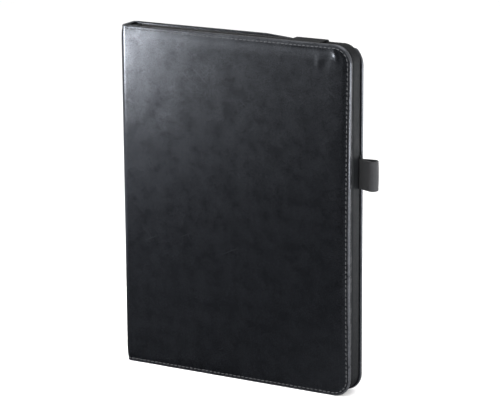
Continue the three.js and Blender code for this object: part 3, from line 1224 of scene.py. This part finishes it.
    def build_lining(
        self, replaced: Sequence[str], outline: list[Point], border: float
    ) -> bpy.types.Object:
        """Lines the inside of the cover and its half of the spine.

        Args:
            replaced: the CAD nodes that the lining stands for.
            outline: the lining's pattern.
            border: how far it stays from the cover's edge, not used.

        Returns:
            The lining.
        """
        base = self.thick
        rings = ((0.0, base - 0.05), (0.12, base + 0.1), (0.5, base + 0.2), (1.1, base + self.lining))
        piece = self.shell(f"{self.side.value}_suede", outline, rings, -self.lining)
        BENCH.dress(piece, SUEDE)
        self.blend(piece)
        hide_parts(*replaced)
        return piece

    def build_stitches(self, finish: Finish) -> bpy.types.Object:
        """Sews the row round the three free sides.

        Args:
            finish: the thread.

        Returns:
            The row of stitches.
        """
        path = inset(self.outline, self.stitch_inset, still=len(self.outline) - 1)
        row = StitchRow()
        marks = [mark for mark in walk(path, row.pitch, False) if mark[0][0] > 1.5]
        piece = row.sew(
            f"{self.side.value}_stitches",
            marks,
            lambda point: self.stitch_depth * self.scale(point[0]),
            self.place,
            finish,
        )
        self.blend(piece)
        return piece


@dataclass
class FrontCover:
    """The padded front cover."""

    sizes: CaseSizes
    corner: float = 14.0
    thick: float = 4.25
    bow: float = 2.2
    lining_border: float = 3.0
    pad_border: float = 3.4
    rings: Sequence[Point] = (
        (10.0, 4.25), (3.0, 4.25), (1.2, 4.12), (0.42, 3.75), (0.08, 3.15), (0.0, 2.5), (0.12, 1.9),
        (0.45, 1.38), (1.0, 1.08), (1.7, 0.96), (2.6, 1.06), (3.4, 0.86), (4.5, 0.56), (6.0, 0.3),
        (8.0, 0.13), (11.0, 0.03),
    )
    pad_rings: Sequence[Point] = (
        (1.6, 2.15), (0.2, 2.1), (0.0, 1.9), (0.3, 1.6), (1.2, 1.2), (2.6, 0.8), (5.0, 0.58), (8.0, 0.5)
    )

    def outline(self) -> list[Point]:
        """The pattern's outline: rounded at the free corners.

        Returns:
            The outline's points, counter-clockwise.
        """
        mid = self.sizes.mid_spine
        width, height, r = self.sizes.width, self.sizes.height, self.corner
        return [
            (mid, 0.0),
            *arc((width - r, r), r, 270, 360, 12),
            *arc((width - r, height - r), r, 0, 90, 12),
            (mid, height),
        ]

    def build(self) -> None:
        """Builds leather, pad, board, lining, magnet and stitches."""
        w, h = self.sizes.width, self.sizes.height
        puckers = (
            (w - 25.5, h - 12.5, 0.0, 2.4, 6.5, 0.34),
            (w - 11.9, h - 8.2, -30.0, 1.6, 3.8, 0.54),
            (w - 18.5, h - 10.5, 12.0, 2.6, 6.0, -0.24),
        )
        outline = self.outline()
        cover = FoldingCover(
            self.sizes, Body.FRONT, 1, self.thick, self.rings, outline, bow=self.bow, puckers=puckers
        )
        cover.build_leather(("front_skin", "spine_skin"))
        border = self.lining_border
        inner = inset(outline, border, still=len(outline) - 1)
        cover.build_lining(
            ("front_lining", "spine_lining"), inner, border
        )
        cover.build_stitches(GREY_THREAD)
        self.build_pad(cover)
        for node, name, finish, bevel in (
            ("front_board", "front_board_core", GREYBOARD, 0.2),
            ("wake_magnet", "wake_magnet_bar", MAGNET, 0.15),
        ):
            piece = BENCH.copy_node(node, name, finish, bevel, cover.bent)
            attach(piece, Body.FRONT.value)

    def build_pad(self, cover: FoldingCover) -> None:
        """Builds the foam pad under the leather, crowned and thin at its rim.

        Args:
            cover: the cover whose shape the pad follows.
        """
        border, corner = self.pad_border, self.corner - self.pad_border
        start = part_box("front_foam")[0][0] / MM - self.sizes.spine + 4.0
        outline = rounded_outline(
            (start, border),
            (self.sizes.width - border, self.sizes.height - border),
            (2.0, corner, corner, 2.0),
            8,
        )
        bm = bmesh.new()
        rest, _ = BENCH.layers(bm)
        rows = []
        for distance, depth in self.pad_rings:
            ring = inset(outline, distance) if distance < 2.0 else self._shrunk(outline, distance)
            rows.append([bm.verts.new((s, depth, z)) for s, z in ring])
        BENCH.loft(rows, bm, closed=True)
        bm.faces.new(rows[0])
        bm.faces.new(rows[-1])
        BENCH.slice_up(bm, ACROSS, [start + BEND_PITCH * i for i in range(1, 14)])
        BENCH.slice_up(bm, UPWARD, evenly(0.0, self.sizes.height, 20))
        for vert in bm.verts:
            vert[rest] = vert.co * MM
            vert.co = cover.place(*vert.co)
        bmesh.ops.recalc_face_normals(bm, faces=bm.faces[:])
        piece = BENCH.piece("front_foam_pad", bm)
        BENCH.smooth(piece, 60)
        BENCH.dress(piece, FOAM)
        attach(piece, Body.FRONT.value)
        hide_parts("front_foam")

    @staticmethod
    def _shrunk(outline: Sequence[Point], distance: float) -> list[Point]:
        """Shrinks an outline towards its middle, where a mitred inset would cross itself at tight corners.

        Args:
            outline: the outline.
            distance: how far its outermost points move.

        Returns:
            As many points as the outline has.
        """
        xs, zs = [p[0] for p in outline], [p[1] for p in outline]
        cx, cz = (min(xs) + max(xs)) / 2, (min(zs) + max(zs)) / 2
        fx = 1 - distance / (max(xs) - cx)
        fz = 1 - distance / (max(zs) - cz)
        return [(cx + (x - cx) * fx, cz + (z - cz) * fz) for x, z in outline]


@dataclass
class BackCover:
    """The flat back cover, cut away at the top for the camera and the strap."""

    sizes: CaseSizes
    corner: float = 14.0
    notch_left: float = 139.0
    notch_right: float = 186.0
    notch_depth: float = 25.0
    notch_corner: float = 4.0
    slope_start: float = 116.0
    slope_drop: float = 1.6
    tip: float = 2.5
    horn: float = 3.0
    high_corner: float = 18.0
    thick: float = 3.05
    lining_border: float = 2.2
    board_border: float = 2.6
    board_drop: float = 8.5
    rings: Sequence[Point] = (
        (2.35, 3.05), (1.2, 3.0), (0.4, 2.75), (0.06, 2.3), (0.0, 1.6), (0.14, 0.95), (0.5, 0.42),
        (1.05, 0.14), (1.6, 0.05), (2.35, 0.1),
    )

    def outline(self, border: float = 0.0) -> list[Point]:
        """The pattern's outline with the notch, every side moved inwards by a border.

        Args:
            border: how far the sides move.

        Returns:
            The outline's points, counter-clockwise.
        """
        mid = self.sizes.mid_spine
        width, height = self.sizes.width, self.sizes.height
        r, n, tip = self.high_corner - border, self.notch_corner + border, self.tip
        horn = self.horn - border
        left, right = self.notch_left - border, self.notch_right + border
        centre = (width - self.high_corner, height - self.high_corner)
        floor = height - self.notch_depth - border
        rise = math.sqrt((r - horn) ** 2 - (right + horn - centre[0]) ** 2)
        lean = math.degrees(math.atan2(rise, right + horn - centre[0]))
        top = height - self.slope_drop - border
        return [
            (mid, border),
            *arc((width - self.corner, self.corner), self.corner - border, 270, 360, 12),
            *arc(centre, r, 0, lean, 9),
            *arc((right + horn, centre[1] + rise), horn, lean + 15, 180, 8),
            *arc((right - n, floor + n), n, 0, -90, 6),
            *arc((left + n, floor + n), n, 270, 180, 6),
            *arc((left - tip, top - tip), tip, 0, 88, 5),
            (self.slope_start, height - border),
            (mid, height - border),
        ]

    def build(self) -> None:
        """Builds leather, board, lining and stitches."""
        cover = FoldingCover(
            self.sizes,
            Body.BACK,
            -1,
            self.thick,
            self.rings,
            self.outline(),
            stitch_inset=2.35,
            stitch_depth=0.1,
        )
        cover.build_leather(("back_skin",))
        border = self.lining_border
        cover.build_lining(("back_lining",), self.outline(border), border)
        cover.build_stitches(GREY_THREAD)
        piece = BENCH.copy_node("back_board", "back_board_core", GREYBOARD, 0.2, self.trimmed)
        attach(piece, Body.BACK.value)
        piece = BENCH.copy_node("spine_board", "spine_board_core", GREYBOARD, 0.2)
        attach(piece, Body.SPINE.value)

    def trimmed(self, x: float, y: float, z: float) -> Vector:
        """Keeps a point of the board inside the rounded corner beside the notch, in metres.

        Args:
            x: the point's place across the case.
            y: its depth.
            z: its height.

        Returns:
            The point's new place.
        """
        spine, height = self.sizes.spine, self.sizes.height
        horn_x, horn_z = spine + self.notch_right, height - self.board_drop
        centre = Vector((spine + self.sizes.width - self.high_corner, height - self.high_corner))
        away = Vector((x / MM, z / MM)) - centre
        reach = self.high_corner - self.board_border
        if away.x > 0 and away.y > 0 and away.length > reach:
            away = away.normalized() * reach
        where = centre + away
        return Vector((where.x, y / MM, min(where.y, horn_z) if where.x > horn_x else where.y)) * MM


# --------------------------------------------------------------------------- pocket


@dataclass
class Pocket:
    """The tablet pocket: back panel, soft wall round three sides, stiffened frame round the screen."""

    sizes: CaseSizes
    wall_thick: float = 3.2
    corner: float = 13.0
    spine_corner: float = 4.0
    window_corner: float = 5.0
    bulge: float = 0.3
    skin: float = 0.3
    rim: float = 8.0
    seam_inset: float = 2.2
    seam_pitch: float = 3.6
    outer_rings: Sequence[Point] = (
        (2.6, 1.85), (0.7, 1.82), (0.14, 1.6), (0.0, 1.1), (0.1, 0.55), (0.42, 0.2), (1.0, 0.03), (1.7, 0.0)
    )
    inner_rings: Sequence[Point] = (
        (-1.6, 1.85), (-0.5, 1.82), (-0.08, 1.5), (0.0, 0.95), (-0.12, 0.42), (-0.5, 0.1), (-1.2, 0.0),
        (-2.2, 0.09), (-3.2, 0.0),
    )

    def build(self) -> None:
        """Builds every part of the pocket."""
        self.build_wall()
        self.build_frame_skin()
        for node, name, finish, bevel in (
            ("pocket_back_panel", "pocket_back_leather", MATT_LEATHER, 0.4),
            ("pocket_back_lining", "pocket_back_suede", SUEDE, 0.2),
            ("frame_stiffener", "frame_board_core", SUEDE, 0.2),
            ("strap_loop_patch", "strap_loop_fabric", HOOK_TAPE, 0.2),
            ("pen_loop_anchor", "pen_loop_tape", ELASTIC, 0.2),
        ):
            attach(BENCH.copy_node(node, name, finish, bevel), Body.BACK.value)

    def limits(self) -> tuple[Point, Point]:
        """Lowest and highest corner of the pocket's outline, from its back panel."""
        low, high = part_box("pocket_back_panel")
        return (low[0] / MM, low[2] / MM), (high[0] / MM, high[2] / MM)

    def build_wall(self) -> None:
        """Sweeps the soft wall down the spine side, along the bottom and up round the free side."""
        (x0, z0), (x1, z1) = self.limits()
        r, k = self.corner, self.spine_corner
        path = [
            (x0, z1),
            *arc((x0 + k, z0 + k), k, 180, 270, 8),
            *arc((x1 - r, z0 + r), r, 270, 360, 12),
            *arc((x1 - r, z1 - r), r, 0, 88, 12),
        ]
        y0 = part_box("pocket_wall_bottom")[0][1] / MM - 0.1
        y1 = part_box("pocket_back_panel")[1][1] / MM - 0.02
        middle, half = (y0 + y1) / 2, (y1 - y0) / 2
        profile: list[Point] = []
        for i in range(11):
            y = y0 + 0.55 + (y1 - y0 - 1.1) * i / 10
            profile.append((-self.bulge * (1 - ((y - middle) / half) ** 4) - 0.06, y))
        profile += [(0.10, y1 - 0.16), (0.5, y1), (2.6, y1), (3.05, y1 - 0.2)]
        for i in range(7):
            y = y1 - 0.7 - (y1 - y0 - 1.4) * i / 6
            profile.append((self.wall_thick + 0.12 * (1 - ((y - middle) / half) ** 2), y))
        profile += [(3.05, y0 + 0.2), (2.6, y0), (0.5, y0), (0.10, y0 + 0.16)]
        bm = bmesh.new()
        rest, edge = BENCH.layers(bm)
        columns = [
            [bm.verts.new((x, y, z)) for x, z in inset(path, distance, closed=False)]
            for distance, y in profile
        ]
        BENCH.loft(columns + [columns[0]], bm, closed=False)
        bm.faces.new([column[0] for column in columns])
        bm.faces.new([column[-1] for column in columns])
        BENCH.slice_up(bm, UPWARD, evenly(z0, z1, 24))
        BENCH.slice_up(bm, ACROSS, evenly(x0, x1, 18))
        for vert in bm.verts:
            vert[edge] = 0.5 if abs(vert.co.y - middle) > half - 0.3 else 0.0
            vert.co *= MM
            vert[rest] = vert.co
        bmesh.ops.recalc_face_normals(bm, faces=bm.faces[:])
        piece = BENCH.piece("pocket_side_gusset", bm)
        BENCH.smooth(piece, 50)
        BENCH.dress(piece, MATT_LEATHER)
        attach(piece, Body.BACK.value)
        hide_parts("pocket_wall_spine", "pocket_wall_bottom", "pocket_wall_free")

    def build_frame_skin(self) -> None:
        """Wraps the frame round the screen in leather, turned over its outer and inner edges."""
        (x0, z0), (x1, z1) = self.limits()
        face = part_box("frame_skin")[0][1] / MM
        window_low, window_high = self.window()
        outer = rounded_outline(
            (x0, z0), (x1, z1), (self.spine_corner, self.corner, self.corner, self.spine_corner), 10
        )
        inner = rounded_outline(window_low, window_high, (self.window_corner,) * 4, 8)
        bm = bmesh.new()
        rest, edge = BENCH.layers(bm)
        last = []
        for outline, rings in ((outer, self.outer_rings), (inner, self.inner_rings)):
            rows = []
            for distance, depth in rings:
                row = [bm.verts.new((x, face + depth, z)) for x, z in inset(outline, distance)]
                for vert in row:
                    vert[edge] = 0.7 if abs(distance) < 0.6 else 0.0
                rows.append(row)
            BENCH.loft(rows, bm, closed=True)
            last.append(rows[-1])
        sides = []
        for row in last:
            sides += [bm.edges.get((a, b)) for a, b in zip(row, row[1:] + row[:1])]
        bmesh.ops.triangle_fill(bm, edges=sides, use_dissolve=False, normal=Vector((0, -1, 0)))
        BENCH.slice_up(bm, UPWARD, evenly(z0, z1, 16))
        BENCH.slice_up(bm, ACROSS, evenly(x0, x1, 12))
        for vert in bm.verts:
            vert.co *= MM
            vert[rest] = vert.co
        BENCH.face_towards(bm, Vector((0, -1, 0)))
        piece = BENCH.piece("frame_leather", bm)
        BENCH.modify(piece, "SOLIDIFY", {"thickness": self.skin * MM, "offset": -1.0})
        BENCH.smooth(piece)
        BENCH.dress(piece, MATT_LEATHER)
        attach(piece, Body.BACK.value)
        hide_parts("frame_skin")
        path = inset(inner, -self.seam_inset)
        stitches = StitchRow(pitch=self.seam_pitch, width=0.5).sew(
            "frame_stitches",
            walk(path, self.seam_pitch, True),
            lambda point: face + 0.09,
            lambda x, y, z: Vector((x, y, z)) * MM,
            BLACK_THREAD,
        )
        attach(stitches, Body.BACK.value)

    def window(self) -> tuple[Point, Point]:
        """Corners of the screen window, measured on the frame's own mesh.

        Returns:
            The lowest and the highest corner, in millimetres.
        """
        low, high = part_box("frame_skin")
        corners = [vert.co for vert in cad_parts["frame_skin"].data.vertices]
        spans = []
        for axis in (0, 2):
            first, last = low[axis] + self.rim * MM, high[axis] - self.rim * MM
            inside = [corner[axis] / MM for corner in corners if first < corner[axis] < last]
            spans.append((min(inside), max(inside)))
        (left, right), (bottom, top) = spans
        return (left, bottom), (right, top)


# --------------------------------------------------------------------------- ribbons


@dataclass
class Ribbon:
    """A flat band of even width that follows a path."""

    path: list[Point]
    low: float
    high: float
    section: Sequence[Point]
    place: Place

    def build(self, name: str, finish: Finish) -> bpy.types.Object:
        """Sweeps the band.

        Args:
            name: the new piece's name.
            finish: what it is made of.

        Returns:
            The band, its cross-section given from one edge to its middle and mirrored.
        """
        half = [(self.low + c, t) for c, t in self.section]
        other = [(self.high - c, t) for c, t in reversed(self.section)]
        top = half + other
        loop = top + [(c, -t) for c, t in reversed(top)]
        bm = bmesh.new()
        rest, edge = BENCH.layers(bm)
        rows, along = [], 0.0
        for i, (p, q) in enumerate(self.path):
            before, after = self.path[max(0, i - 1)], self.path[min(len(self.path) - 1, i + 1)]
            length = math.hypot(after[0] - before[0], after[1] - before[1])
            normal = (-(after[1] - before[1]) / length, (after[0] - before[0]) / length)
            if i:
                along += math.hypot(p - self.path[i - 1][0], q - self.path[i - 1][1])
            row = []
            for c, t in loop:
                vert = bm.verts.new(self.place(p + normal[0] * t, q + normal[1] * t, c))
                vert[rest] = Vector((along, t, c)) * MM
                vert[edge] = 0.6 if min(c - self.low, self.high - c) < 0.4 else 0.0
                row.append(vert)
            rows.append(row)
        BENCH.loft(rows, bm, closed=True)
        bm.faces.new(rows[0])
        bm.faces.new(rows[-1])
        bmesh.ops.recalc_face_normals(bm, faces=bm.faces[:])
        piece = BENCH.piece(name, bm)
        BENCH.smooth(piece, 50)
        return BENCH.dress(piece, finish)


@dataclass
class TopStrap:
    """The strap that closes the pocket's mouth, sewn on in front and held by hook tape behind."""

    sizes: CaseSizes
    half: float = 0.5
    seam: float = 1.5
    radius: float = 1.7
    overlap: float = 0.02
    stitch_border: float = 1.6
    stitch_pitch: float = 2.4
    section: Sequence[Point] = ((0.0, 0.12), (0.06, 0.32), (0.25, 0.46), (0.6, 0.5), (1.2, 0.46), (2.0, 0.5))

    def build(self) -> None:
        """Builds the strap's two halves, its stitches and its hook tape."""
        low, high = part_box("strap_top")
        tail_low, tail_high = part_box("strap_tail")
        x0, x1 = low[0] / MM, high[0] / MM
        top = high[2] / MM - self.half
        front, rear = low[1] / MM, tail_high[1] / MM - self.half
        seam, radius, over = self.seam, self.radius, self.overlap
        front_path = [
            (front + 0.05, top - 9.0),
            (front - over, top - 6.0),
            (front - over, top - 3.2),
            *arc((front - over + radius, top - radius), radius, 180, 90, 9),
            (front + 3.4, top + over),
            (seam - 1.0, top),
            (seam, top),
        ]
        rear_path = [
            (seam, top),
            (seam + 1.0, top),
            (rear - radius - 1.0, top),
            *arc((rear - radius, top - radius), radius, 90, 0, 9),
            *line((rear, top - radius), (rear, tail_low[2] / MM), 8)[1:],
        ]
        down = top - 2.2
        place: Place = lambda y, z, x: Vector((x, y, z)) * MM
        for name, node, path, first, second, rest, start, end in (
            ("strap_front_band", "strap_top", front_path, Body.BACK, Body.STRAP, "frame_leather",
             (front, down), (front + 3.0, top)),
            ("strap_rear_band", "strap_tail", rear_path, Body.STRAP, Body.TAIL, "pocket_back_leather",
             (rear - radius, top), (rear, down)),
        ):
            piece = Ribbon(path, x0, x1, self.section, place).build(name, MATT_LEATHER)
            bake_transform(piece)
            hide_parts(node)
            path_length(path) * MM
        self.sew_rows(x0, x1, front, rear, top)
        patch = BENCH.copy_node("strap_hook_patch", "strap_hook_fabric", HOOK_TAPE, 0.2)
        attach(patch, Body.TAIL.value)

    def sew_rows(self, x0: float, x1: float, front: float, rear: float, top: float) -> None:
        """Sews two short rows across the strap's top, and one along each edge of its tail.

        Args:
            x0: the strap's edge on the spine's side.
            x1: its edge on the free side.
            front: its front end.
            rear: the middle of its tail's thickness.
            top: the middle of its thickness above the mouth.
        """
        surface, outside = top + self.half, rear + self.half
        left, right = x0 + self.stitch_border, x1 - self.stitch_border
        upper, lower = top - 2.6, top - 18.6
        row = StitchRow(length=1.8, width=0.42, sink=0.06)
        marks: list[tuple[Point, Point]] = []
        for y in (front + 3.2, front + 4.8):
            marks += walk([(left, y), (right, y)], self.stitch_pitch, False)
        piece = row.sew(
            "strap_cross_stitches",
            marks,
            lambda point: 0.0,
            lambda x, depth, y: Vector((x, y, surface - depth)) * MM,
            BLACK_THREAD,
        )
        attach(piece, Body.STRAP.value)
        path = [(right, upper), (right, lower), (left, lower), (left, upper)]
        piece = row.sew(
            "strap_tail_stitches",
            walk(path, self.stitch_pitch, False),
            lambda point: 0.0,
            lambda x, depth, z: Vector((x, outside - depth, z)) * MM,
            BLACK_THREAD,
        )
        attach(piece, Body.TAIL.value)


@dataclass
class PenLoop:
    """The elastic loop for a pen, its ends sewn between the pocket and the back cover."""

    sizes: CaseSizes
    round_x: float = 101.3
    round_y: float = 4.9
    radius: float = 3.66
    root_y: float = 6.5
    root_half: float = 0.62
    waist: float = 0.35
    flare: float = 6.0
    tab_half: float = 0.95
    tab_overlap: float = 0.4
    tab_tip: float = 4.2
    section: Sequence[Point] = (
        (0.0, 0.18), (0.08, 0.42), (0.32, 0.56), (0.8, 0.6), (1.4, 0.52), (2.0, 0.55), (5.0, 0.52),
        (8.0, 0.55),
    )

    def build(self) -> None:
        """Builds the loop and the tab over its root."""
        low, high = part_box("pen_loop")
        root = low[0] / MM + 0.2
        z0, z1 = low[2] / MM, high[2] / MM
        path = self.drop(root)

        def place(x: float, y: float, z: float) -> Vector:
            """Lets the loop's edges flare a little.

            Args:
                x: the point's place across the case.
                y: its depth.
                z: its height.

            Returns:
                The point's new place, in metres.
            """
            v = 2 * (z - z0) / (z1 - z0) - 1
            share = min(1.0, max(0.0, (x - root) / self.flare))
            return Vector((x - self.waist * share * v * v, y, z)) * MM

        piece = Ribbon(path, z0, z1, self.section, place).build("pen_loop_elastic", ELASTIC)
        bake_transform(piece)
        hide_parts("pen_loop")
        path_length(path) * MM
        self.build_tab(root, z0, z1)

    def drop(self, root: float) -> list[Point]:
        """The loop's middle line in plan: two straight sides and a round end.

        Args:
            root: where the loop leaves the case.

        Returns:
            The line's points.
        """
        cx, cy, r = self.round_x, self.round_y, self.radius
        ends = []
        for side in (1, -1):
            y = self.root_y + side * self.root_half
            distance = math.hypot(root - cx, y - cy)
            bearing = math.atan2(y - cy, root - cx)
            ends.append((y, bearing - side * math.acos(r / distance)))
        (y_top, start), (y_low, stop) = ends
        while stop > start:
            stop -= 2 * math.pi
        bow = arc((cx, cy), r, math.degrees(start), math.degrees(stop), 28)
        return line((root, y_top), bow[0], 8)[:-1] + bow + line(bow[-1], (root, y_low), 8)[1:]

    def build_tab(self, root: float, z0: float, z1: float) -> None:
        """Folds a leather tab with a slanted tip round the loop's root.

        Args:
            root: where the loop leaves the case.
            z0: the loop's lower edge.
            z1: the loop's upper edge.
        """
        bpy.ops.object.select_all(action="DESELECT")
        bpy.ops.mesh.primitive_cube_add(size=1.0, location=(0, 0, 0))
        tab = bpy.context.active_object
        tab.name = tab.data.name = "pen_loop_root_tab"
        y0, y1 = self.root_y - self.tab_half, self.root_y + self.tab_half
        over = self.tab_overlap
        for vert in tab.data.vertices:
            right, back, high = (vert.co.x > 0), (vert.co.y > 0), (vert.co.z > 0)
            x = root + (1.1 if right else -1.2)
            z = z1 + (over if right else self.tab_tip) if high else z0 - over
            vert.co = Vector((x, y1 if back else y0, z)) * MM
        BENCH.modify(tab, "BEVEL", {"width": 0.45 * MM, "segments": 4, "limit_method": "NONE"})
        bm = bmesh.new()
        bm.from_mesh(tab.data)
        rest, _ = BENCH.layers(bm)
        for vert in bm.verts:
            vert[rest] = vert.co
        bm.to_mesh(tab.data)
        bm.free()
        BENCH.smooth(tab, 50)
        BENCH.dress(tab, MATT_LEATHER)
        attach(tab, Body.BACK.value)


# --------------------------------------------------------------------------- studio


@dataclass
class StudioCamera:
    """A long lens that looks down a little from the right."""

    azimuth: float = 29.59
    elevation: float = 14.35
    roll: float = -0.35
    distance: float = 1.7966
    target: tuple[float, float, float] = (0.0009, 0.0, 0.1325)
    lens: float = 172.8
    sensor: float = 36.0
    reach: float = 50.0

    def build(self) -> None:
        """Places the camera."""
        data = bpy.data.cameras.new("studio camera")
        data.lens, data.sensor_width, data.sensor_fit = self.lens, self.sensor, "HORIZONTAL"
        data.clip_end = self.reach
        camera = bpy.data.objects.new("studio camera", data)
        bpy.context.scene.collection.objects.link(camera)
        a, e = math.radians(self.azimuth), math.radians(self.elevation)
        back = Vector((math.sin(a) * math.cos(e), -math.cos(a) * math.cos(e), math.sin(e)))
        right = (-back).cross(UPWARD).normalized()
        up = right.cross(-back)
        turn = math.radians(self.roll)
        right_turned = right * math.cos(turn) + up * math.sin(turn)
        up_turned = up * math.cos(turn) - right * math.sin(turn)
        axes = Matrix((right_turned, up_turned, back)).transposed()
        camera.matrix_world = Matrix.Translation(Vector(self.target) + back * self.distance) @ axes.to_4x4()
        bpy.context.scene.camera = camera


@dataclass(frozen=True)
class LightCard:
    """A soft rectangular studio light."""

    name: str
    place: tuple[float, float, float]
    aim: tuple[float, float, float]
    width: float
    height: float
    power: float

    def build(self) -> None:
        """Places the light."""
        data = bpy.data.lights.new(self.name, "AREA")
        data.shape = "RECTANGLE"
        data.size, data.size_y, data.energy = self.width, self.height, self.power
        card = bpy.data.objects.new(self.name, data)
        bpy.context.scene.collection.objects.link(card)
        card.location = self.place
        card.rotation_euler = (Vector(self.aim) - Vector(self.place)).to_track_quat("-Z", "Y").to_euler()
        card.visible_camera = False


@dataclass
class Studio:
    """Pale floor with painted reflections, even surroundings and soft lights."""

    cards: Sequence[LightCard] = (
        LightCard("front left card", (-0.374, -0.309, 0.258), (-0.1, -0.01, 0.20), 0.11, 0.24, 4.9),
        LightCard("front wide card", (-0.72, -1.02, 0.31), (0.0, -0.01, 0.2), 1.2, 0.44, 1.8),
        LightCard("overhead card", (0.2, -0.3, 1.9), (0.0, 0.0, 0.1), 1.8, 1.8, 34.0),
        LightCard("right low card", (0.72, -0.22, 0.15), (0.09, 0.0, 0.13), 0.30, 0.28, 6.4),
        LightCard("right rear card", (0.42, 0.55, 0.10), (0.1, 0.0, 0.10), 0.30, 0.20, 1.0),
    )
    surroundings: float = 0.75
    reflected_surroundings: float = 0.03
    reflected_rear: float = 0.6
    floor_size: float = 14.0
    floor_colour: float = 0.93
    floor_glow: float = 0.1
    # Painted reflections: floor colours that only glossy rays see, dark in front, lighter to the right, at the
    # front left and behind.
    dark_floor: Colour = (0.02, 0.021, 0.024)
    right_floor: Colour = (0.45, 0.45, 0.46)
    front_patch: Colour = (0.48, 0.50, 0.55)
    rear_floor: Colour = (0.80, 0.81, 0.84)
    backdrop: float = 0.3

    def build(self) -> None:
        """Builds floor, surroundings and lights."""
        self.build_floor()
        self.build_world()
        for card in self.cards:
            card.build()
        bpy.context.scene.view_settings.view_transform = "Standard"

    def build_floor(self) -> None:
        """Lays the floor, pale to the camera; its reflections are painted dark with lighter patches."""
        bpy.ops.object.select_all(action="DESELECT")
        bpy.ops.mesh.primitive_plane_add(size=self.floor_size, location=(0, 0, 0))
        floor = bpy.context.active_object
        floor.name = "studio floor"
        material, desk, shader = blank_material("pale floor")
        for name, value in (("Roughness", 0.85), ("Specular IOR Level", 0.1), ("Emission Color", WHITE)):
            desk.feed(shader.inputs[name], value)
        where = desk.add("ShaderNodeTexCoord").outputs["Object"]
        along, deep, _ = desk.parts(where)
        cloth = desk.noise(where, 6.0, 3.0).outputs["Fac"]
        pale = desk.mix_colour(cloth, (self.floor_colour,) * 3, (self.floor_colour + 0.01,) * 3)
        dark = desk.mix_colour(desk.remap(along, -0.05, 0.35), self.dark_floor, self.right_floor)
        patch = desk.math("MULTIPLY", desk.remap(along, -0.33, -0.48), desk.remap(deep, -0.78, -0.64))
        dark = desk.mix_colour(patch, dark, self.front_patch)
        dark = desk.mix_colour(desk.remap(deep, 0.05, 0.30), dark, self.rear_floor)
        # Painted reflection: glossy rays see the dark floor and its lighter patches, the camera sees the pale
        # floor.
        glossy = desk.add("ShaderNodeLightPath").outputs["Is Glossy Ray"]
        desk.feed(shader.inputs["Base Color"], desk.mix_colour(glossy, pale, dark))
        glow = desk.math("MULTIPLY", desk.math("SUBTRACT", 1.0, glossy), self.floor_glow)
        desk.feed(shader.inputs["Emission Strength"], glow)
        floor.data.materials.append(material)

    def build_world(self) -> None:
        """Sets the even light from all round."""
        world = bpy.data.worlds.new("studio surroundings")
        world.use_nodes = True
        world.node_tree.nodes.clear()
        desk = NodeDesk(world.node_tree)
        paths = desk.add("ShaderNodeLightPath").outputs
        where = desk.add("ShaderNodeTexCoord").outputs["Generated"]
        rear = desk.remap(desk.parts(where)[1], 0.25, 0.75)
        reflected = desk.math("MULTIPLY", rear, self.reflected_rear)
        reflected = desk.math("ADD", reflected, self.reflected_surroundings)
        change = desk.math("SUBTRACT", reflected, self.surroundings)
        seen = desk.math("MULTIPLY", paths["Is Camera Ray"], self.backdrop)
        strength = desk.math("ADD", desk.math("MULTIPLY", paths["Is Glossy Ray"], change), self.surroundings)
        strength = desk.math("ADD", strength, seen)
        lit = desk.add("ShaderNodeBackground", None, {"Color": WHITE, "Strength": strength})
        desk.add("ShaderNodeOutputWorld", None, {"Surface": lit.outputs[0]})
        bpy.context.scene.world = world


def main() -> None:
    """Builds the studio and the case in order."""
    logging.basicConfig(level=logging.INFO, format="%(message)s")
    sizes = CaseSizes.read()
    covers = (FrontCover(sizes), BackCover(sizes))
    for part in (StudioCamera(), Studio(), *covers, Pocket(sizes), TopStrap(sizes), PenLoop(sizes)):
        part.build()
        log.info("built %s", type(part).__name__)


if __name__ == "__main__":
    main()
